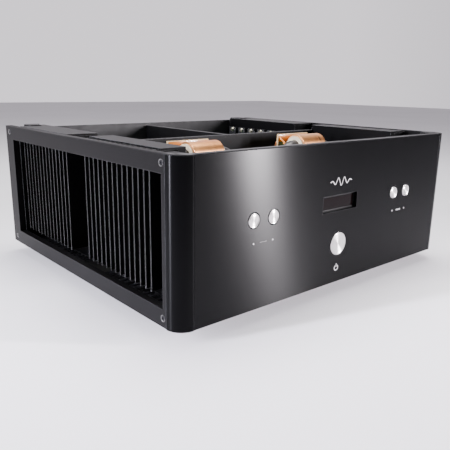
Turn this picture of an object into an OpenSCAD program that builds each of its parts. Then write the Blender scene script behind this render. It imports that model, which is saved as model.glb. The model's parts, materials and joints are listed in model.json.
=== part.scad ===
// Stereo integrated amplifier with an open top, heat sinks behind framed sides and two R-core transformers.
// Sizes are in millimetres. Sub-parts are drawn in body coordinates: x from the middle, y back from the
// front face, z up from the underside of the body. place() then moves them so that the origin is at the
// bottom centre of the whole object.

/* [Body] */
// Width over the side frames
body_w = 430; // [400:1:460]
// Depth from the front face to the back of the rear panel
body_d = 380; // [370:1:420]
// Height without the feet
body_h = 155; // [152:1:170]
// Height of the feet
foot_h = 14; // [8:1:30]
// Thickness of the front panel
panel_t = 10; // [8:0.5:14]
// Thickness of the side frames
frame_t = 8; // [6:0.5:10]
// Thickness of the base plate and rear panel
sheet_t = 3; // [2:0.5:4]
// Broken edge on the thick plates
edge = 0.6; // [0.3:0.1:1]

/* [Corner posts] */
// Width of a corner post seen from the front
post_w = 18; // [18:1:30]
// Depth of a corner post
post_d = 27; // [24:1:32]
// Radius of the rounded front corner
corner_r = 17; // [10:1:20]

/* [Side frames] */
// Front edge of the side window, from the front face
window_y0 = 22; // [21:1:30]
// Back edge of the side window, from the front face
window_y1 = 357; // [340:1:362]
// Lower edge of the side window
window_z0 = 17.6; // [12:0.2:24]
// Upper edge of the side window
window_z1 = 138.3; // [130:0.1:142]

/* [Heat sinks] */
// Distance from the side to the fin tips
fin_inset = 10; // [9:0.5:14]
// Depth of the fins
fin_depth = 29; // [25:1:36]
// Thickness of a fin
fin_t = 1.4; // [1.2:0.1:3]
// Distance from fin to fin
fin_pitch = 9.5; // [8:0.5:9.5]
// Fins on one heat sink
fin_count = 14; // [10:1:14]
// Thickness of the heat sink's back
sink_back_t = 9; // [6:0.5:10]
// Height at which the fins begin
fin_z0 = 22; // [20:1:40]

/* [Front controls] */
// Height of the four small buttons
button_z = 89.5; // [80:0.5:110]
// Inner and outer distance of the small buttons from the middle
button_x = [102, 128]; // [100:1:130]
// Diameter of a small button
button_d = 13.8; // [10:0.1:16]
// Travel of a small button
button_travel = 1.5; // [0.5:0.1:2]
// Height of the power button
power_z = 44.6; // [40:0.2:55]
// Diameter of the power button
power_d = 25.4; // [20:0.2:32]
// Travel of the power button
power_travel = 3; // [1:0.5:3]
// Gap around the buttons
button_gap = 1.1; // [0.4:0.05:1.2]
// How far the power button stands out
power_reach = 1; // [0.5:0.5:6]
// Width and height of the display opening
display_size = [58, 18]; // [16:1:60]
// Height of the middle of the display
display_z = 90.3; // [85:0.1:100]
// How far the display glass is set back
display_recess = 4; // [2:0.5:5]

/* [Transformers] */
// Distance of each transformer from the middle
coil_x = 88.5; // [75:0.5:95]
// Depth at which the transformers stand
coil_y = 128; // [100:1:135]
// Height of the upper winding's axis
coil_z = 133.4; // [125:0.1:135]
// Outer radius of the copper-wrapped windings
coil_r = 16.2; // [15:0.1:20]
// Length of a winding without its end discs
coil_len = 42; // [36:1:50]
// Distance between the two legs of the core
leg_pitch = 44; // [42:1:60]
// Radius of the core
core_r = 9; // [7:0.5:9]

/* [Rear panel] */
// How far the speaker terminals stand out of the rear panel
terminal_reach = 33; // [33:1:45]
// Distances of the speaker terminals from the middle
terminal_x = [124, 148]; // [120:1:150]
// Height of the speaker terminals
terminal_z = 50; // [45:1:60]
// Distances of the phono sockets from the middle
phono_x = [13, 37]; // [12:1:40]
// Distance of the three-pin signal sockets from the middle
xlr_x = 84; // [80:1:90]
// Height of the signal sockets
signal_z = 110; // [105:1:115]
// Middle of the mains inlet along x
inlet_x = 22; // [20:1:40]
// Middle of the mains switch along x
switch_x = -22; // [-40:1:-20]
// Height of the mains inlet and switch
mains_z = 44; // [40:1:50]

/* [Hidden] */
// Rounds are drawn with this many segments
$fn = 64;
// Overshoot of cutting tools
cut = 1;

// Depth of the whole object, and the y of the body's front face with the origin at the bottom centre
front_y = -(body_d + terminal_reach - power_reach) / 2;
half_w = body_w / 2;
frame_x = half_w - frame_t;
post_x = half_w - post_w;
rear_y = body_d - sheet_t;

// Heat sinks
sink_x1 = half_w - fin_inset;
sink_x0 = sink_x1 - fin_depth - sink_back_t;
sink_front = [52, 186];
sink_rear = [220, 372];
fin_margin = 2.5;
slot_margin = 1;
sink_top = body_h;
sink_cap_t = 2.5;
// How far out the caps over the front and rear fins reach
sink_cap_x = [195, 205];

// Partitions
cross_y = 184;
wall_t = 2;
wall_top = 148;
wall_flange = 8;
notch = [342, 22, 128];
// Place and radius of the holes that the transformers' wires pass through
wire_hole = [70, 34, 12];
rear_top = 152;

// Raised rear corner blocks
rear_post_x = [173, 177, 192];
rear_post_y = 356;
rear_post_top = body_h + 1;
rear_tab_top = 153;

// Feet
foot_x = 148;
foot_y = [50, 330];
foot_r = 22;
pad_r = 17;
pad_t = 3;
pad_set = 1;
foot_z = pad_t - pad_set - foot_h;
foot_hole_r = 2.1;
foot_hole_depth = 8;
foot_screw_len = 7.5;
foot_head_h = 2.5;

// Screws
screw_r = 1.5;
side_screw_y = [22.2, 368];
side_screw_z = [9.1, 147.4];
side_screw_len = 14;
rear_screw_x = 182.5;
rear_screw_r = 1.6;
rear_screw_len = 12;
rear_head = [3, 1.8];
hex_depth = 1;
hole_gap = 0.1;
rear_screw_z = [20, 78, 136];
head_r = 2.9;
foot_head_r = 4;

// Display
glass_t = 2.5;
glass_lap = 3;
glass_gap = 0.3;

// Small buttons and the board behind the panel
button_reach = 0.3;
board_t = 1.6;
control_board_y = 22;
cap_rim = 0.8;
flange_t = 1.5;
flange_more = 1.6;
stem_r = 2;
power_stem_r = 3.5;
switch_y = control_board_y - 4.5;

// Transformers
bend_r = leg_pitch / 2;
leg_z = [coil_z, coil_z - leg_pitch];
core_mid_z = coil_z - bend_r;
disc_t = 2.5;
core_straight = coil_len + 2 * disc_t + 2;
disc_r = 14;
tube_r = 11;
lead_hole = [1.1, 12.4];
strut_t = 2;
strut_half = 14;
lead_plate = [58, 2.4, 50];
lead_plate_y = coil_y + 24;
lead_leg_w = 10;
lead_plate_top = 148.5;

// Boards and capacitors
supply_z = 11;
amp_z = 108;
amp_x = [60, 108, 166];
amp_y = [200, 338, 371];
supply_y = [200, 348];
can_r = 17;
can_h = 68;
can_x = 33;
can_y = [for (i = [0 : 3]) 219 + 37 * i];
device_y = [for (i = [0 : 5]) 244 + 23 * i];
device_z = 137;
device_size = [4.8, 15.6, 19.6];
device_hole_r = 1.6;
input_z = 93;
spacer_r = 3;

// Signal and mains parts on the rear panel
xlr_r = 12;
xlr_bore_r = 9.6;
xlr_insert_r = 7.9;
xlr_flange = [26, 31];
xlr_flange_t = 2;
xlr_len = 22;
xlr_face_y = body_d + xlr_flange_t;
contact_ring_r = 4.8;
contact_r = 1.3;
// Angle and depth of each contact hole
contact_holes = [[-135, 12], [0, 10], [135, 11]];
xlr_depth = 15;
latch_w = 8;
latch_h = 3.4;
latch_up = 12.2;
latch_travel = 1;
latch_y = 374;
latch_gap = 0.4;
phono_sleeve_r = 4.15;
phono_pin_r = 1.6;
phono_len = 8;
phono_bore_len = 9;
inlet_bezel = [34, 44];
inlet_body = [28, 38];
cutout_gap = 0.4;
inlet_recess = [24.6, 16.8];
inlet_depth = 17;
inlet_up = 8;
drawer_size = [24, 8];
drawer_up = -13.5;
drawer_depth = 26;
switch_bezel = [24, 36];
switch_body = [20, 32];
rocker_w = 16.4;
rocker_tilt = 12;
rocker_r = 14;
rocker_gap = 0.4;
rocker_y = body_d - 4;

// Speaker terminals
stud_r = 3;
bush_t = 2;
stud_bore_r = 2;
stud_back = 11;
stud_inset = 4;
nut_r = 8;
nut_t = 4;
flutes = 12;
flute_r = 1.1;
stud_bore_len = 20;
collar_r = 10;
collar_t = 4.5;
knob_r = 8;
knob_len = 28;
knob_gap = 0.06;

module place() {
  translate([0, front_y, foot_h])
    children();
}

// Draws the children on the right for side = 1, or mirrored on the left for side = -1
module on_side(side) {
  if (side > 0)
    children();
  else
    mirror([1, 0, 0])
      children();
}

// A cylinder along +y that starts at [x, y, z]
module rod_y(x, y, z, r, len) {
  translate([x, y, z])
    rotate([-90, 0, 0])
      cylinder(r = r, h = len);
}

// A cylinder along +x that starts at [x, y, z]
module rod_x(x, y, z, r, len) {
  translate([x, y, z])
    rotate([0, 90, 0])
      cylinder(r = r, h = len);
}

// A box centred on x and z, from y to y + t
module slab_y(x, y, z, w, t, h) {
  translate([x - w / 2, y, z - h / 2])
    cube([w, t, h]);
}

// Turns a 2D shape into a prism along +x: its x becomes y and its y becomes z
module prism_x(len) {
  rotate([90, 0, 90])
    linear_extrude(height = len)
      children();
}

// A w by t by h plate whose four edges on the y = 0 side are broken
module broken_plate(w, t, h) {
  intersection() {
    linear_extrude(height = h)
      polygon([[edge, 0], [w - edge, 0], [w, edge], [w, t], [0, t], [0, edge]]);
    prism_x(w)
      polygon([[0, edge], [edge, 0], [t, 0], [t, h], [edge, h], [0, h - edge]]);
  }
}

// ---- Front panel, posts and side frames ----

module front_panel() {
  color("#202023")
    place()
      difference() {
        translate([-post_x, 0, 0])
          broken_plate(2 * post_x, panel_t, body_h);
        for (side = [-1, 1], x = button_x)
          rod_y(side * x, -cut, button_z, button_d / 2 + button_gap, panel_t + 2 * cut);
        rod_y(0, -cut, power_z, power_d / 2 + button_gap, panel_t + 2 * cut);
        slab_y(0, -cut, display_z, display_size[0], panel_t, display_size[1]);
        slab_y(0, display_recess, display_z, display_size[0] + 2 * glass_lap, panel_t,
               display_size[1] + 2 * glass_lap);
      }
}

// The blind holes that take the side screws, on the right
module side_screw_holes(y) {
  for (z = side_screw_z)
    rod_x(half_w - side_screw_len - cut, y, z, screw_r + hole_gap, side_screw_len);
}

module corner_post(side) {
  color("#17171a")
    place()
      on_side(side)
        difference() {
          union() {
            intersection() {
              translate([half_w - corner_r, corner_r, 0])
                union() {
                  cylinder(r = corner_r, h = body_h - edge);
                  translate([0, 0, body_h - edge])
                    cylinder(r1 = corner_r, r2 = corner_r - edge, h = edge);
                }
              translate([half_w - corner_r, 0, 0])
                cube([corner_r, corner_r, body_h]);
            }
            translate([post_x, 0, 0])
              broken_plate(half_w - corner_r - post_x + edge, post_d, body_h);
            translate([half_w - corner_r, corner_r, 0])
              cube([corner_r - frame_t, post_d - corner_r, body_h]);
          }
          side_screw_holes(side_screw_y[0]);
        }
}

// The cone of a countersunk head on the outer face, wider by gap and set in by drop
module countersink(y, z, gap, drop) {
  translate([half_w - head_r + screw_r, y, z])
    rotate([0, 90, 0])
      cylinder(r1 = screw_r + gap, r2 = head_r + gap, h = head_r - screw_r - drop + (gap > 0 ? 0.01 : 0));
}

module side_frame(side) {
  color("#3a393c")
    place()
      on_side(side)
        difference() {
          translate([half_w, corner_r, 0])
            rotate([0, 0, 90])
              broken_plate(body_d - corner_r, frame_t, body_h);
          translate([frame_x - cut, window_y0, window_z0])
            cube([frame_t + 2 * cut, window_y1 - window_y0, window_z1 - window_z0]);
          for (y = side_screw_y, z = side_screw_z) {
            rod_x(frame_x - cut, y, z, screw_r + hole_gap, frame_t + 2 * cut);
            countersink(y, z, hole_gap, 0);
          }
        }
}

module side_screws() {
  color("#4a4a4d")
    place()
      for (side = [-1, 1], y = side_screw_y, z = side_screw_z)
        on_side(side)
          difference() {
            union() {
              rod_x(half_w - side_screw_len, y, z, screw_r, side_screw_len - head_r + screw_r);
              countersink(y, z, 0, hole_gap);
            }
            translate([half_w - 3 * hex_depth, y, z])
              rotate([0, 90, 0])
                cylinder(r = 1.15, h = 3 * hex_depth + cut, $fn = 6);
          }
}

// ---- Base, rear panel and inner walls ----

module base_plate() {
  color("#232326")
    place()
      difference() {
        linear_extrude(height = sheet_t)
          polygon([[-post_x, panel_t], [post_x, panel_t], [post_x, post_d], [frame_x, post_d],
                   [frame_x, rear_y], [-frame_x, rear_y], [-frame_x, post_d], [-post_x, post_d]]);
        for (side = [-1, 1], sink = [sink_front, sink_rear], i = [0 : fin_count - 2])
          on_side(side)
            translate([sink_x1 - fin_depth + slot_margin,
                       sink[0] + fin_margin + fin_t + slot_margin + i * fin_pitch, -cut])
              cube([fin_depth - 2 * slot_margin, fin_pitch - fin_t - 2 * slot_margin, sheet_t + 2 * cut]);
        for (x = [-foot_x, foot_x], y = foot_y)
          translate([x, y, -cut])
            cylinder(r = foot_hole_r, h = sheet_t + 2 * cut);
      }
}

module rear_panel() {
  color("#232326")
    place()
      difference() {
        translate([-frame_x, rear_y, sheet_t])
          cube([2 * frame_x, sheet_t, rear_top - sheet_t]);
        for (side = [-1, 1], z = rear_screw_z)
          rod_y(side * rear_screw_x, rear_y - cut, z, rear_screw_r + hole_gap, sheet_t + 2 * cut);
        for (side = [-1, 1], x = terminal_x)
          rod_y(side * x, rear_y - cut, terminal_z, stud_r + bush_t + hole_gap, sheet_t + 2 * cut);
        for (side = [-1, 1], x = phono_x)
          rod_y(side * x, rear_y - cut, signal_z, phono_sleeve_r + hole_gap, sheet_t + 2 * cut);
        for (side = [-1, 1]) {
          rod_y(side * xlr_x, rear_y - cut, signal_z, xlr_r + hole_gap, sheet_t + 2 * cut);
          latch_slot(side * xlr_x, latch_gap + cutout_gap);
        }
        slab_y(inlet_x, rear_y - cut, mains_z, inlet_body[0] + cutout_gap, sheet_t + 2 * cut,
               inlet_body[1] + cutout_gap);
        slab_y(switch_x, rear_y - cut, mains_z, switch_body[0] + cutout_gap, sheet_t + 2 * cut,
               switch_body[1] + cutout_gap);
      }
}

module rear_screws() {
  color("#9a9a9c")
    place()
      for (side = [-1, 1], z = rear_screw_z) {
        difference() {
          union() {
            rod_y(side * rear_screw_x, body_d - rear_screw_len, z, rear_screw_r, rear_screw_len);
            rod_y(side * rear_screw_x, body_d, z, rear_head[0], rear_head[1]);
          }
          translate([side * rear_screw_x, body_d + rear_head[1] - hex_depth, z])
            rotate([-90, 0, 0])
              cylinder(r = 1.2, h = hex_depth + cut, $fn = 6);
        }
      }
}

module rear_posts() {
  color("#2a2627")
    place()
      for (side = [-1, 1])
        on_side(side)
          difference() {
            union() {
              translate([rear_post_x[0], sink_rear[1] + 0.5, sheet_t])
                cube([rear_post_x[2] - rear_post_x[0], rear_y - sink_rear[1] - 0.5, rear_post_top - sheet_t]);
              translate([rear_post_x[1], rear_post_y, sheet_t])
                cube([rear_post_x[2] - rear_post_x[1], rear_y - rear_post_y, rear_post_top - sheet_t]);
              translate([rear_post_x[2], rear_post_y, sheet_t])
                cube([frame_x - rear_post_x[2], rear_y - rear_post_y, rear_tab_top - sheet_t]);
            }
            side_screw_holes(side_screw_y[1]);
            for (z = rear_screw_z)
              rod_y(rear_screw_x, body_d - rear_screw_len - cut, z, rear_screw_r + hole_gap, rear_screw_len);
          }
}

module cross_partition() {
  color("#3c3c40")
    place()
      difference() {
        translate([-sink_x0 + 0.5, cross_y, sheet_t])
          union() {
            cube([2 * sink_x0 - 1, wall_t, wall_top - sheet_t]);
            translate([0, 0, wall_top - sheet_t - wall_t])
              cube([2 * sink_x0 - 1, wall_flange, wall_t]);
          }
        for (side = [-1, 1])
          rod_y(side * wire_hole[0], cross_y - cut, wire_hole[1], wire_hole[2], wall_t + 2 * cut);
      }
}

module centre_partition() {
  start = cross_y + wall_t + 0.2;
  flange_start = cross_y + wall_flange + 0.2;
  color("#3c3c40")
    place()
      union() {
        translate([-wall_t / 2, 0, 0])
          prism_x(wall_t)
            polygon([[start, sheet_t], [rear_y, sheet_t], [rear_y, notch[1]], [notch[0], notch[1]],
                     [notch[0], notch[2]], [rear_y, notch[2]], [rear_y, wall_top],
                     [flange_start, wall_top], [flange_start, wall_top - wall_t - 0.2],
                     [start, wall_top - wall_t - 0.2]]);
        translate([-wall_t / 2, flange_start, wall_top - wall_t])
          cube([wall_flange, rear_y - flange_start, wall_t]);
      }
}

// ---- Heat sinks ----

module heat_sink(side, span, cap_x, tapped) {
  color("#242427")
    place()
      on_side(side)
        difference() {
          union() {
            translate([sink_x0, span[0], sheet_t])
              cube([sink_back_t, span[1] - span[0], sink_top - sheet_t]);
            translate([sink_x0, span[0], sink_top - sink_cap_t])
              cube([cap_x - sink_x0, min(span[1], rear_post_y - 0.5) - span[0], sink_cap_t]);
            for (i = [0 : fin_count - 1])
              translate([sink_x0 + sink_back_t - 0.1, span[0] + fin_margin + i * fin_pitch, fin_z0])
                cube([fin_depth + 0.1, fin_t, sink_top - 1 - fin_z0]);
          }
          if (tapped)
            for (y = device_y)
              rod_x(sink_x0 - cut, y, device_z, device_hole_r, 7 + cut);
        }
}

// ---- Feet ----

module feet() {
  color("#2b2b2e")
    place()
      for (x = [-foot_x, foot_x], y = foot_y)
        translate([x, y, 0])
          rotate_extrude()
            polygon([[0, -foot_hole_depth], [foot_hole_r, -foot_hole_depth], [foot_hole_r, 0], [foot_r, 0],
                     [foot_r, -2], [foot_r - 1, -2.6], [foot_r - 1, -4], [foot_r, -4.6],
                     [foot_r, foot_z + 1.2], [foot_r - 1.2, foot_z], [pad_r + 0.1, foot_z],
                     [pad_r + 0.1, foot_z + pad_set], [0, foot_z + pad_set]]);
}

module foot_pads() {
  color("#111112")
    place()
      for (x = [-foot_x, foot_x], y = foot_y)
        translate([x, y, -foot_h])
          cylinder(r = pad_r, h = pad_t);
}

module foot_screws() {
  color("#8d8d90")
    place()
      for (x = [-foot_x, foot_x], y = foot_y)
        translate([x, y, 0])
          difference() {
            union() {
              translate([0, 0, -foot_screw_len])
                cylinder(r = foot_hole_r - hole_gap, h = foot_screw_len + sheet_t);
              translate([0, 0, sheet_t])
                cylinder(r = foot_head_r, h = foot_head_h);
            }
            translate([0, 0, sheet_t + foot_head_h - hex_depth])
              cylinder(r = 1.5, h = hex_depth + cut, $fn = 6);
          }
}

// ---- Display and buttons ----

module display_window() {
  color("#1a1012")
    place()
      slab_y(0, display_recess, display_z, display_size[0] + 2 * glass_lap - 2 * glass_gap, glass_t,
             display_size[1] + 2 * glass_lap - 2 * glass_gap);
}

module display_module() {
  color("#3a2a2a")
    place()
      slab_y(0, display_recess + glass_t + glass_gap, display_z, display_size[0] + glass_lap,
             control_board_y - display_recess - glass_t - glass_gap, display_size[1] + glass_lap);
}

module control_board() {
  color("#1f5a36")
    place()
      union() {
        slab_y(0, control_board_y, 68, 280, board_t, 76);
        for (side = [-1, 1], x = button_x)
          slab_y(side * x, switch_y, button_z, 7, control_board_y - switch_y, 7);
        slab_y(0, switch_y, power_z, 14, control_board_y - switch_y, 14);
      }
}

// A push button of radius r whose rimmed face stands reach in front of the panel. A collar behind
// the panel keeps it in, and a stem reaches for its switch, which it presses at the end of its travel.
module push_button(x, z, r, reach, travel, rim, stem) {
  collar_y = panel_t + glass_gap;
  flange_r = r + button_gap + flange_more;
  stem_end = switch_y - travel - glass_gap;
  color("#d5d5d8")
    place()
      translate([x, 0, z])
        rotate([-90, 0, 0])
          rotate_extrude()
            polygon([[0, -reach + rim / 2], [r - 2 * rim, -reach + rim / 2], [r - 1.5 * rim, -reach],
                     [r - 0.5 * rim, -reach], [r, -reach + 0.5 * rim], [r, collar_y], [flange_r, collar_y],
                     [flange_r, collar_y + flange_t], [stem, collar_y + flange_t], [stem, stem_end],
                     [0, stem_end]]);
}

module small_button(x) {
  push_button(x, button_z, button_d / 2, button_reach, button_travel, cap_rim, stem_r);
}

module power_button() {
  push_button(0, power_z, power_d / 2, power_reach, power_travel, 1.2, power_stem_r);
}

// ---- Transformers, one at each x ----

// The half ring at one end of a core: end = 1 on its right, -1 on its left
module core_bend(end, r) {
  translate([end * core_straight / 2, 0, 0])
    rotate([90, 0, 0])
      rotate([0, 0, -90 * end])
        rotate_extrude(angle = 180)
          translate([bend_r, 0])
            circle(r = r);
}

module core(x) {
  color("#2e2c2b")
    place()
      translate([x, coil_y, core_mid_z])
        union() {
          for (dz = [-bend_r, bend_r])
            rod_x(-core_straight / 2, 0, dz, core_r, core_straight);
          for (end = [-1, 1])
            core_bend(end, core_r);
        }
}

module windings(x) {
  color("#d99a66")
    place()
      for (z = leg_z)
        difference() {
          rod_x(x - coil_len / 2, coil_y, z, coil_r, coil_len);
          rod_x(x - coil_len, coil_y, z, tube_r, 2 * coil_len);
        }
}

module bobbins(x) {
  color("#e8e0cf")
    place()
      for (z = leg_z)
        difference() {
          union() {
            rod_x(x - coil_len / 2 - disc_t, coil_y, z, tube_r, coil_len + 2 * disc_t);
            rod_x(x - coil_len / 2 - disc_t, coil_y, z, disc_r, disc_t);
            rod_x(x + coil_len / 2, coil_y, z, disc_r, disc_t);
          }
          rod_x(x - coil_len, coil_y, z, core_r + 0.3, 2 * coil_len);
          rod_x(x - coil_len, coil_y + lead_hole[1], z, lead_hole[0], 2 * coil_len);
        }
}

// A folded steel stand: a foot plate, an upright beyond each bend and a saddle that grips the bend
module transformer_frame(x) {
  reach = core_straight / 2 + bend_r + core_r + 2;
  saddle = 12;
  color("#8c8f92")
    place()
      union() {
        translate([x - reach - strut_t, coil_y - 2 * strut_half, sheet_t])
          cube([2 * (reach + strut_t), 4 * strut_half + 4, strut_t]);
        for (end = [-1, 1])
          translate([x + (end > 0 ? reach : -reach - strut_t), coil_y - strut_half, sheet_t])
            cube([strut_t, 2 * strut_half, core_mid_z + saddle - sheet_t]);
        for (end = [-1, 1])
          difference() {
            translate([x + (end > 0 ? reach - 11 : -reach - 0.1), coil_y - saddle, core_mid_z - saddle])
              cube([11.1, 2 * saddle, 2 * saddle]);
            translate([x, coil_y, core_mid_z])
              core_bend(end, core_r + 0.1);
          }
      }
}

// The upright board behind a transformer that its leads are soldered to
module lead_board(x) {
  color("#e2d9c4")
    place()
      translate([x - lead_plate[0] / 2, lead_plate_y, sheet_t + strut_t])
        difference() {
          cube([lead_plate[0], lead_plate[1], lead_plate_top - sheet_t - strut_t]);
          translate([lead_leg_w, -cut, -cut])
            cube([lead_plate[0] - 2 * lead_leg_w, lead_plate[1] + 2 * cut,
                  lead_plate_top - sheet_t - strut_t - lead_plate[2] + cut]);
        }
}

// ---- Boards, capacitors and output devices ----

module supply_boards() {
  color("#1f5a36")
    place()
      for (side = [-1, 1])
        on_side(side)
          translate([8, supply_y[0], supply_z])
            cube([148, supply_y[1] - supply_y[0], board_t]);
}

module filter_capacitors() {
  color("#1d2740")
    place()
      for (side = [-1, 1], y = can_y)
        translate([side * can_x, y, supply_z + board_t])
          union() {
            cylinder(r = can_r, h = can_h - 3);
            translate([0, 0, can_h - 3])
              cylinder(r1 = can_r, r2 = can_r - 1, h = 3);
          }
}

module amplifier_board(side) {
  color("#1f5a36")
    place()
      on_side(side)
        union() {
          translate([0, 0, amp_z])
            linear_extrude(height = board_t)
              polygon([[amp_x[0], amp_y[0]], [amp_x[2], amp_y[0]], [amp_x[2], amp_y[2]],
                       [amp_x[1], amp_y[2]], [amp_x[1], amp_y[1]], [amp_x[0], amp_y[1]]]);
          for (y = [216, 240])
            translate([66, y, amp_z])
              cube([18, 20, board_t + 15]);
          for (y = [275, 315])
            translate([72, y, amp_z])
              cylinder(r = 6.5, h = board_t + 16);
        }
}

module output_transistors(side) {
  color("#151517")
    place()
      on_side(side)
        for (y = device_y)
          difference() {
            union() {
              translate([sink_x0 - device_size[0], y - device_size[1] / 2, device_z + 4 - device_size[2]])
                cube(device_size);
              for (dy = [-5.4, 0, 5.4])
                translate([sink_x0 - 2.2, y + dy - 0.6, amp_z + board_t])
                  cube([0.8, 1.2, device_z - amp_z - 14]);
            }
            rod_x(sink_x0 - 2 * device_size[0], y, device_z, device_hole_r, 4 * device_size[0]);
          }
}

module transistor_screws() {
  color("#dcdcd2")
    place()
      for (side = [-1, 1], y = device_y)
        on_side(side)
          union() {
            rod_x(sink_x0 - device_size[0], y, device_z, device_hole_r - 0.1, device_size[0] + 6);
            translate([sink_x0 - device_size[0], y, device_z])
              rotate([0, -90, 0])
                cylinder(r1 = 3.6, r2 = 2.6, h = 2.4);
          }
}

module input_board() {
  color("#1f5a36")
    place()
      union() {
        slab_y(0, notch[0] + 2, input_z, 208, rear_y - notch[0] - 3, board_t);
        for (x = [-60, -36, 36, 60])
          translate([x - 8, notch[0] + 5, input_z])
            cube([16, 11, 11]);
      }
}

// A turned post from [x, y, z] to the height top
module spacer(x, y, z, top) {
  translate([x, y, z])
    cylinder(r = spacer_r, h = top - z);
}

module board_spacers() {
  color("#b9973f")
    place() {
      for (x = [-150, -14, 14, 150], y = [206, 342])
        spacer(x, y, sheet_t, supply_z);
      for (side = [-1, 1], x = [66, 150], y = [206, 332])
        spacer(side * x, y, supply_z + board_t, amp_z);
      for (x = [-100, 100])
        spacer(x, 366, sheet_t, input_z - board_t / 2);
      for (x = [-70, 70], z = [38, 98])
        rod_y(x, panel_t, z, spacer_r, control_board_y - panel_t);
    }
}

// ---- Mains parts ----

module mains_inlet() {
  face_y = body_d + sheet_t;
  color("#141416")
    place()
      union() {
        difference() {
          union() {
            slab_y(inlet_x, body_d, mains_z, inlet_bezel[0], sheet_t, inlet_bezel[1]);
            slab_y(inlet_x, face_y - drawer_depth - 4, mains_z, inlet_body[0], drawer_depth + 3,
                   inlet_body[1]);
          }
          slab_y(inlet_x, face_y - inlet_depth, mains_z + inlet_up, inlet_recess[0], inlet_depth + cut,
                 inlet_recess[1]);
          slab_y(inlet_x, face_y - drawer_depth - 1, mains_z + drawer_up, drawer_size[0] + 0.8,
                 drawer_depth + 1 + cut, drawer_size[1] + 0.8);
        }
        for (pin = [[-7, -2], [0, 2], [7, -2]])
          slab_y(inlet_x + pin[0], face_y - inlet_depth - 1, mains_z + inlet_up + pin[1], 2, 15, 4);
      }
}

module fuse_drawer() {
  face_y = body_d + sheet_t;
  color("#1b1b1d")
    place()
      difference() {
        union() {
          slab_y(inlet_x, face_y - drawer_depth, mains_z + drawer_up, drawer_size[0], drawer_depth + 1,
                 drawer_size[1]);
          slab_y(inlet_x, face_y + 0.3, mains_z + drawer_up, drawer_size[0] + 3, 2, drawer_size[1] + 3);
        }
        slab_y(inlet_x, face_y - drawer_depth + 2, mains_z + drawer_up + 2, drawer_size[0] - 3,
               drawer_depth - 4, drawer_size[1]);
      }
}

module mains_switch_body() {
  color("#161618")
    place()
      difference() {
        union() {
          slab_y(switch_x, body_d, mains_z, switch_bezel[0], 2.5, switch_bezel[1]);
          slab_y(switch_x, rocker_y - 14, mains_z, switch_body[0], 18, switch_body[1]);
        }
        slab_y(switch_x, rocker_y - 9, mains_z, rocker_w + 2 * rocker_gap, 20, 2 * rocker_r + 2 * rocker_gap);
      }
}

// The rocker is a slice of a cylinder about its pivot, with a shallow V for its face
module mains_rocker() {
  color("#202022")
    place()
      translate([switch_x - rocker_w / 2, rocker_y, mains_z])
        rotate([rocker_tilt, 0, 0])
          intersection() {
            rotate([0, 90, 0])
              cylinder(r = rocker_r, h = rocker_w);
            prism_x(rocker_w)
              polygon([[4.5, 0], [8, 16.5], [-5, 16.5], [-5, -16.5], [8, -16.5]]);
          }
}

// ---- Signal sockets ----

module phono_sockets() {
  color("#c9a24a")
    place()
      for (side = [-1, 1], x = phono_x)
        difference() {
          union() {
            rod_y(side * x, rear_y - 6, signal_z, phono_sleeve_r, sheet_t + 6 + 2 + phono_len);
            rod_y(side * x, body_d, signal_z, 6.5, 2);
            translate([side * x, rear_y - 3, signal_z])
              rotate([-90, 0, 0])
                cylinder(r = 7, h = 3, $fn = 6);
          }
          rod_y(side * x, body_d + 2 + phono_len - phono_bore_len, signal_z, phono_pin_r,
                phono_bore_len + cut);
        }
}

// The slot that a latch slides down in, with a gap all round
module latch_slot(x, gap) {
  slab_y(x, latch_y - latch_gap, signal_z + latch_up - latch_travel / 2, latch_w + 2 * gap,
         body_d + 4 - latch_y, latch_h + latch_travel + 2 * gap);
}

module xlr_shells() {
  color("#3f4044")
    place()
      for (side = [-1, 1])
        on_side(side)
          difference() {
            union() {
              slab_y(xlr_x, body_d, signal_z, xlr_flange[0], xlr_flange_t, xlr_flange[1]);
              rod_y(xlr_x, xlr_face_y - xlr_len, signal_z, xlr_r, xlr_len);
            }
            rod_y(xlr_x, xlr_face_y - xlr_depth, signal_z, xlr_bore_r, xlr_depth + cut);
            latch_slot(xlr_x, latch_gap);
          }
}

// The round inserts that hold the contacts: three holes on a ring, 135 degrees apart from the top
module xlr_inserts() {
  color("#26282c")
    place()
      for (side = [-1, 1])
        on_side(side)
          difference() {
            rod_y(xlr_x, xlr_face_y - xlr_depth, signal_z, xlr_insert_r, xlr_depth - 1);
            for (hole = contact_holes)
              rod_y(xlr_x + contact_ring_r * sin(hole[0]), xlr_face_y - 1 - hole[1],
                    signal_z - contact_ring_r * cos(hole[0]), contact_r, hole[1] + cut);
          }
}

module xlr_latch(side) {
  color("#b8b9bc")
    place()
      on_side(side)
        slab_y(xlr_x, latch_y, signal_z + latch_up, latch_w, body_d + 5 - latch_y, latch_h);
}

// ---- Speaker terminals ----

module speaker_terminals() {
  stud_end = body_d + terminal_reach - stud_inset;
  color("#c9a24a")
    place()
      for (side = [-1, 1], x = terminal_x)
        difference() {
          union() {
            rod_y(side * x, rear_y - stud_back, terminal_z, stud_r, stud_end - rear_y + stud_back);
            rod_y(side * x, rear_y - cut, terminal_z, stud_r + bush_t, sheet_t + cut);
            rod_y(side * x, body_d, terminal_z, collar_r, collar_t);
            translate([side * x, rear_y - nut_t, terminal_z])
              rotate([-90, 0, 0])
                cylinder(r = nut_r, h = nut_t, $fn = 6);
          }
          rod_y(side * x, stud_end - stud_bore_len, terminal_z, stud_bore_r, stud_bore_len + cut);
        }
}

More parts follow.
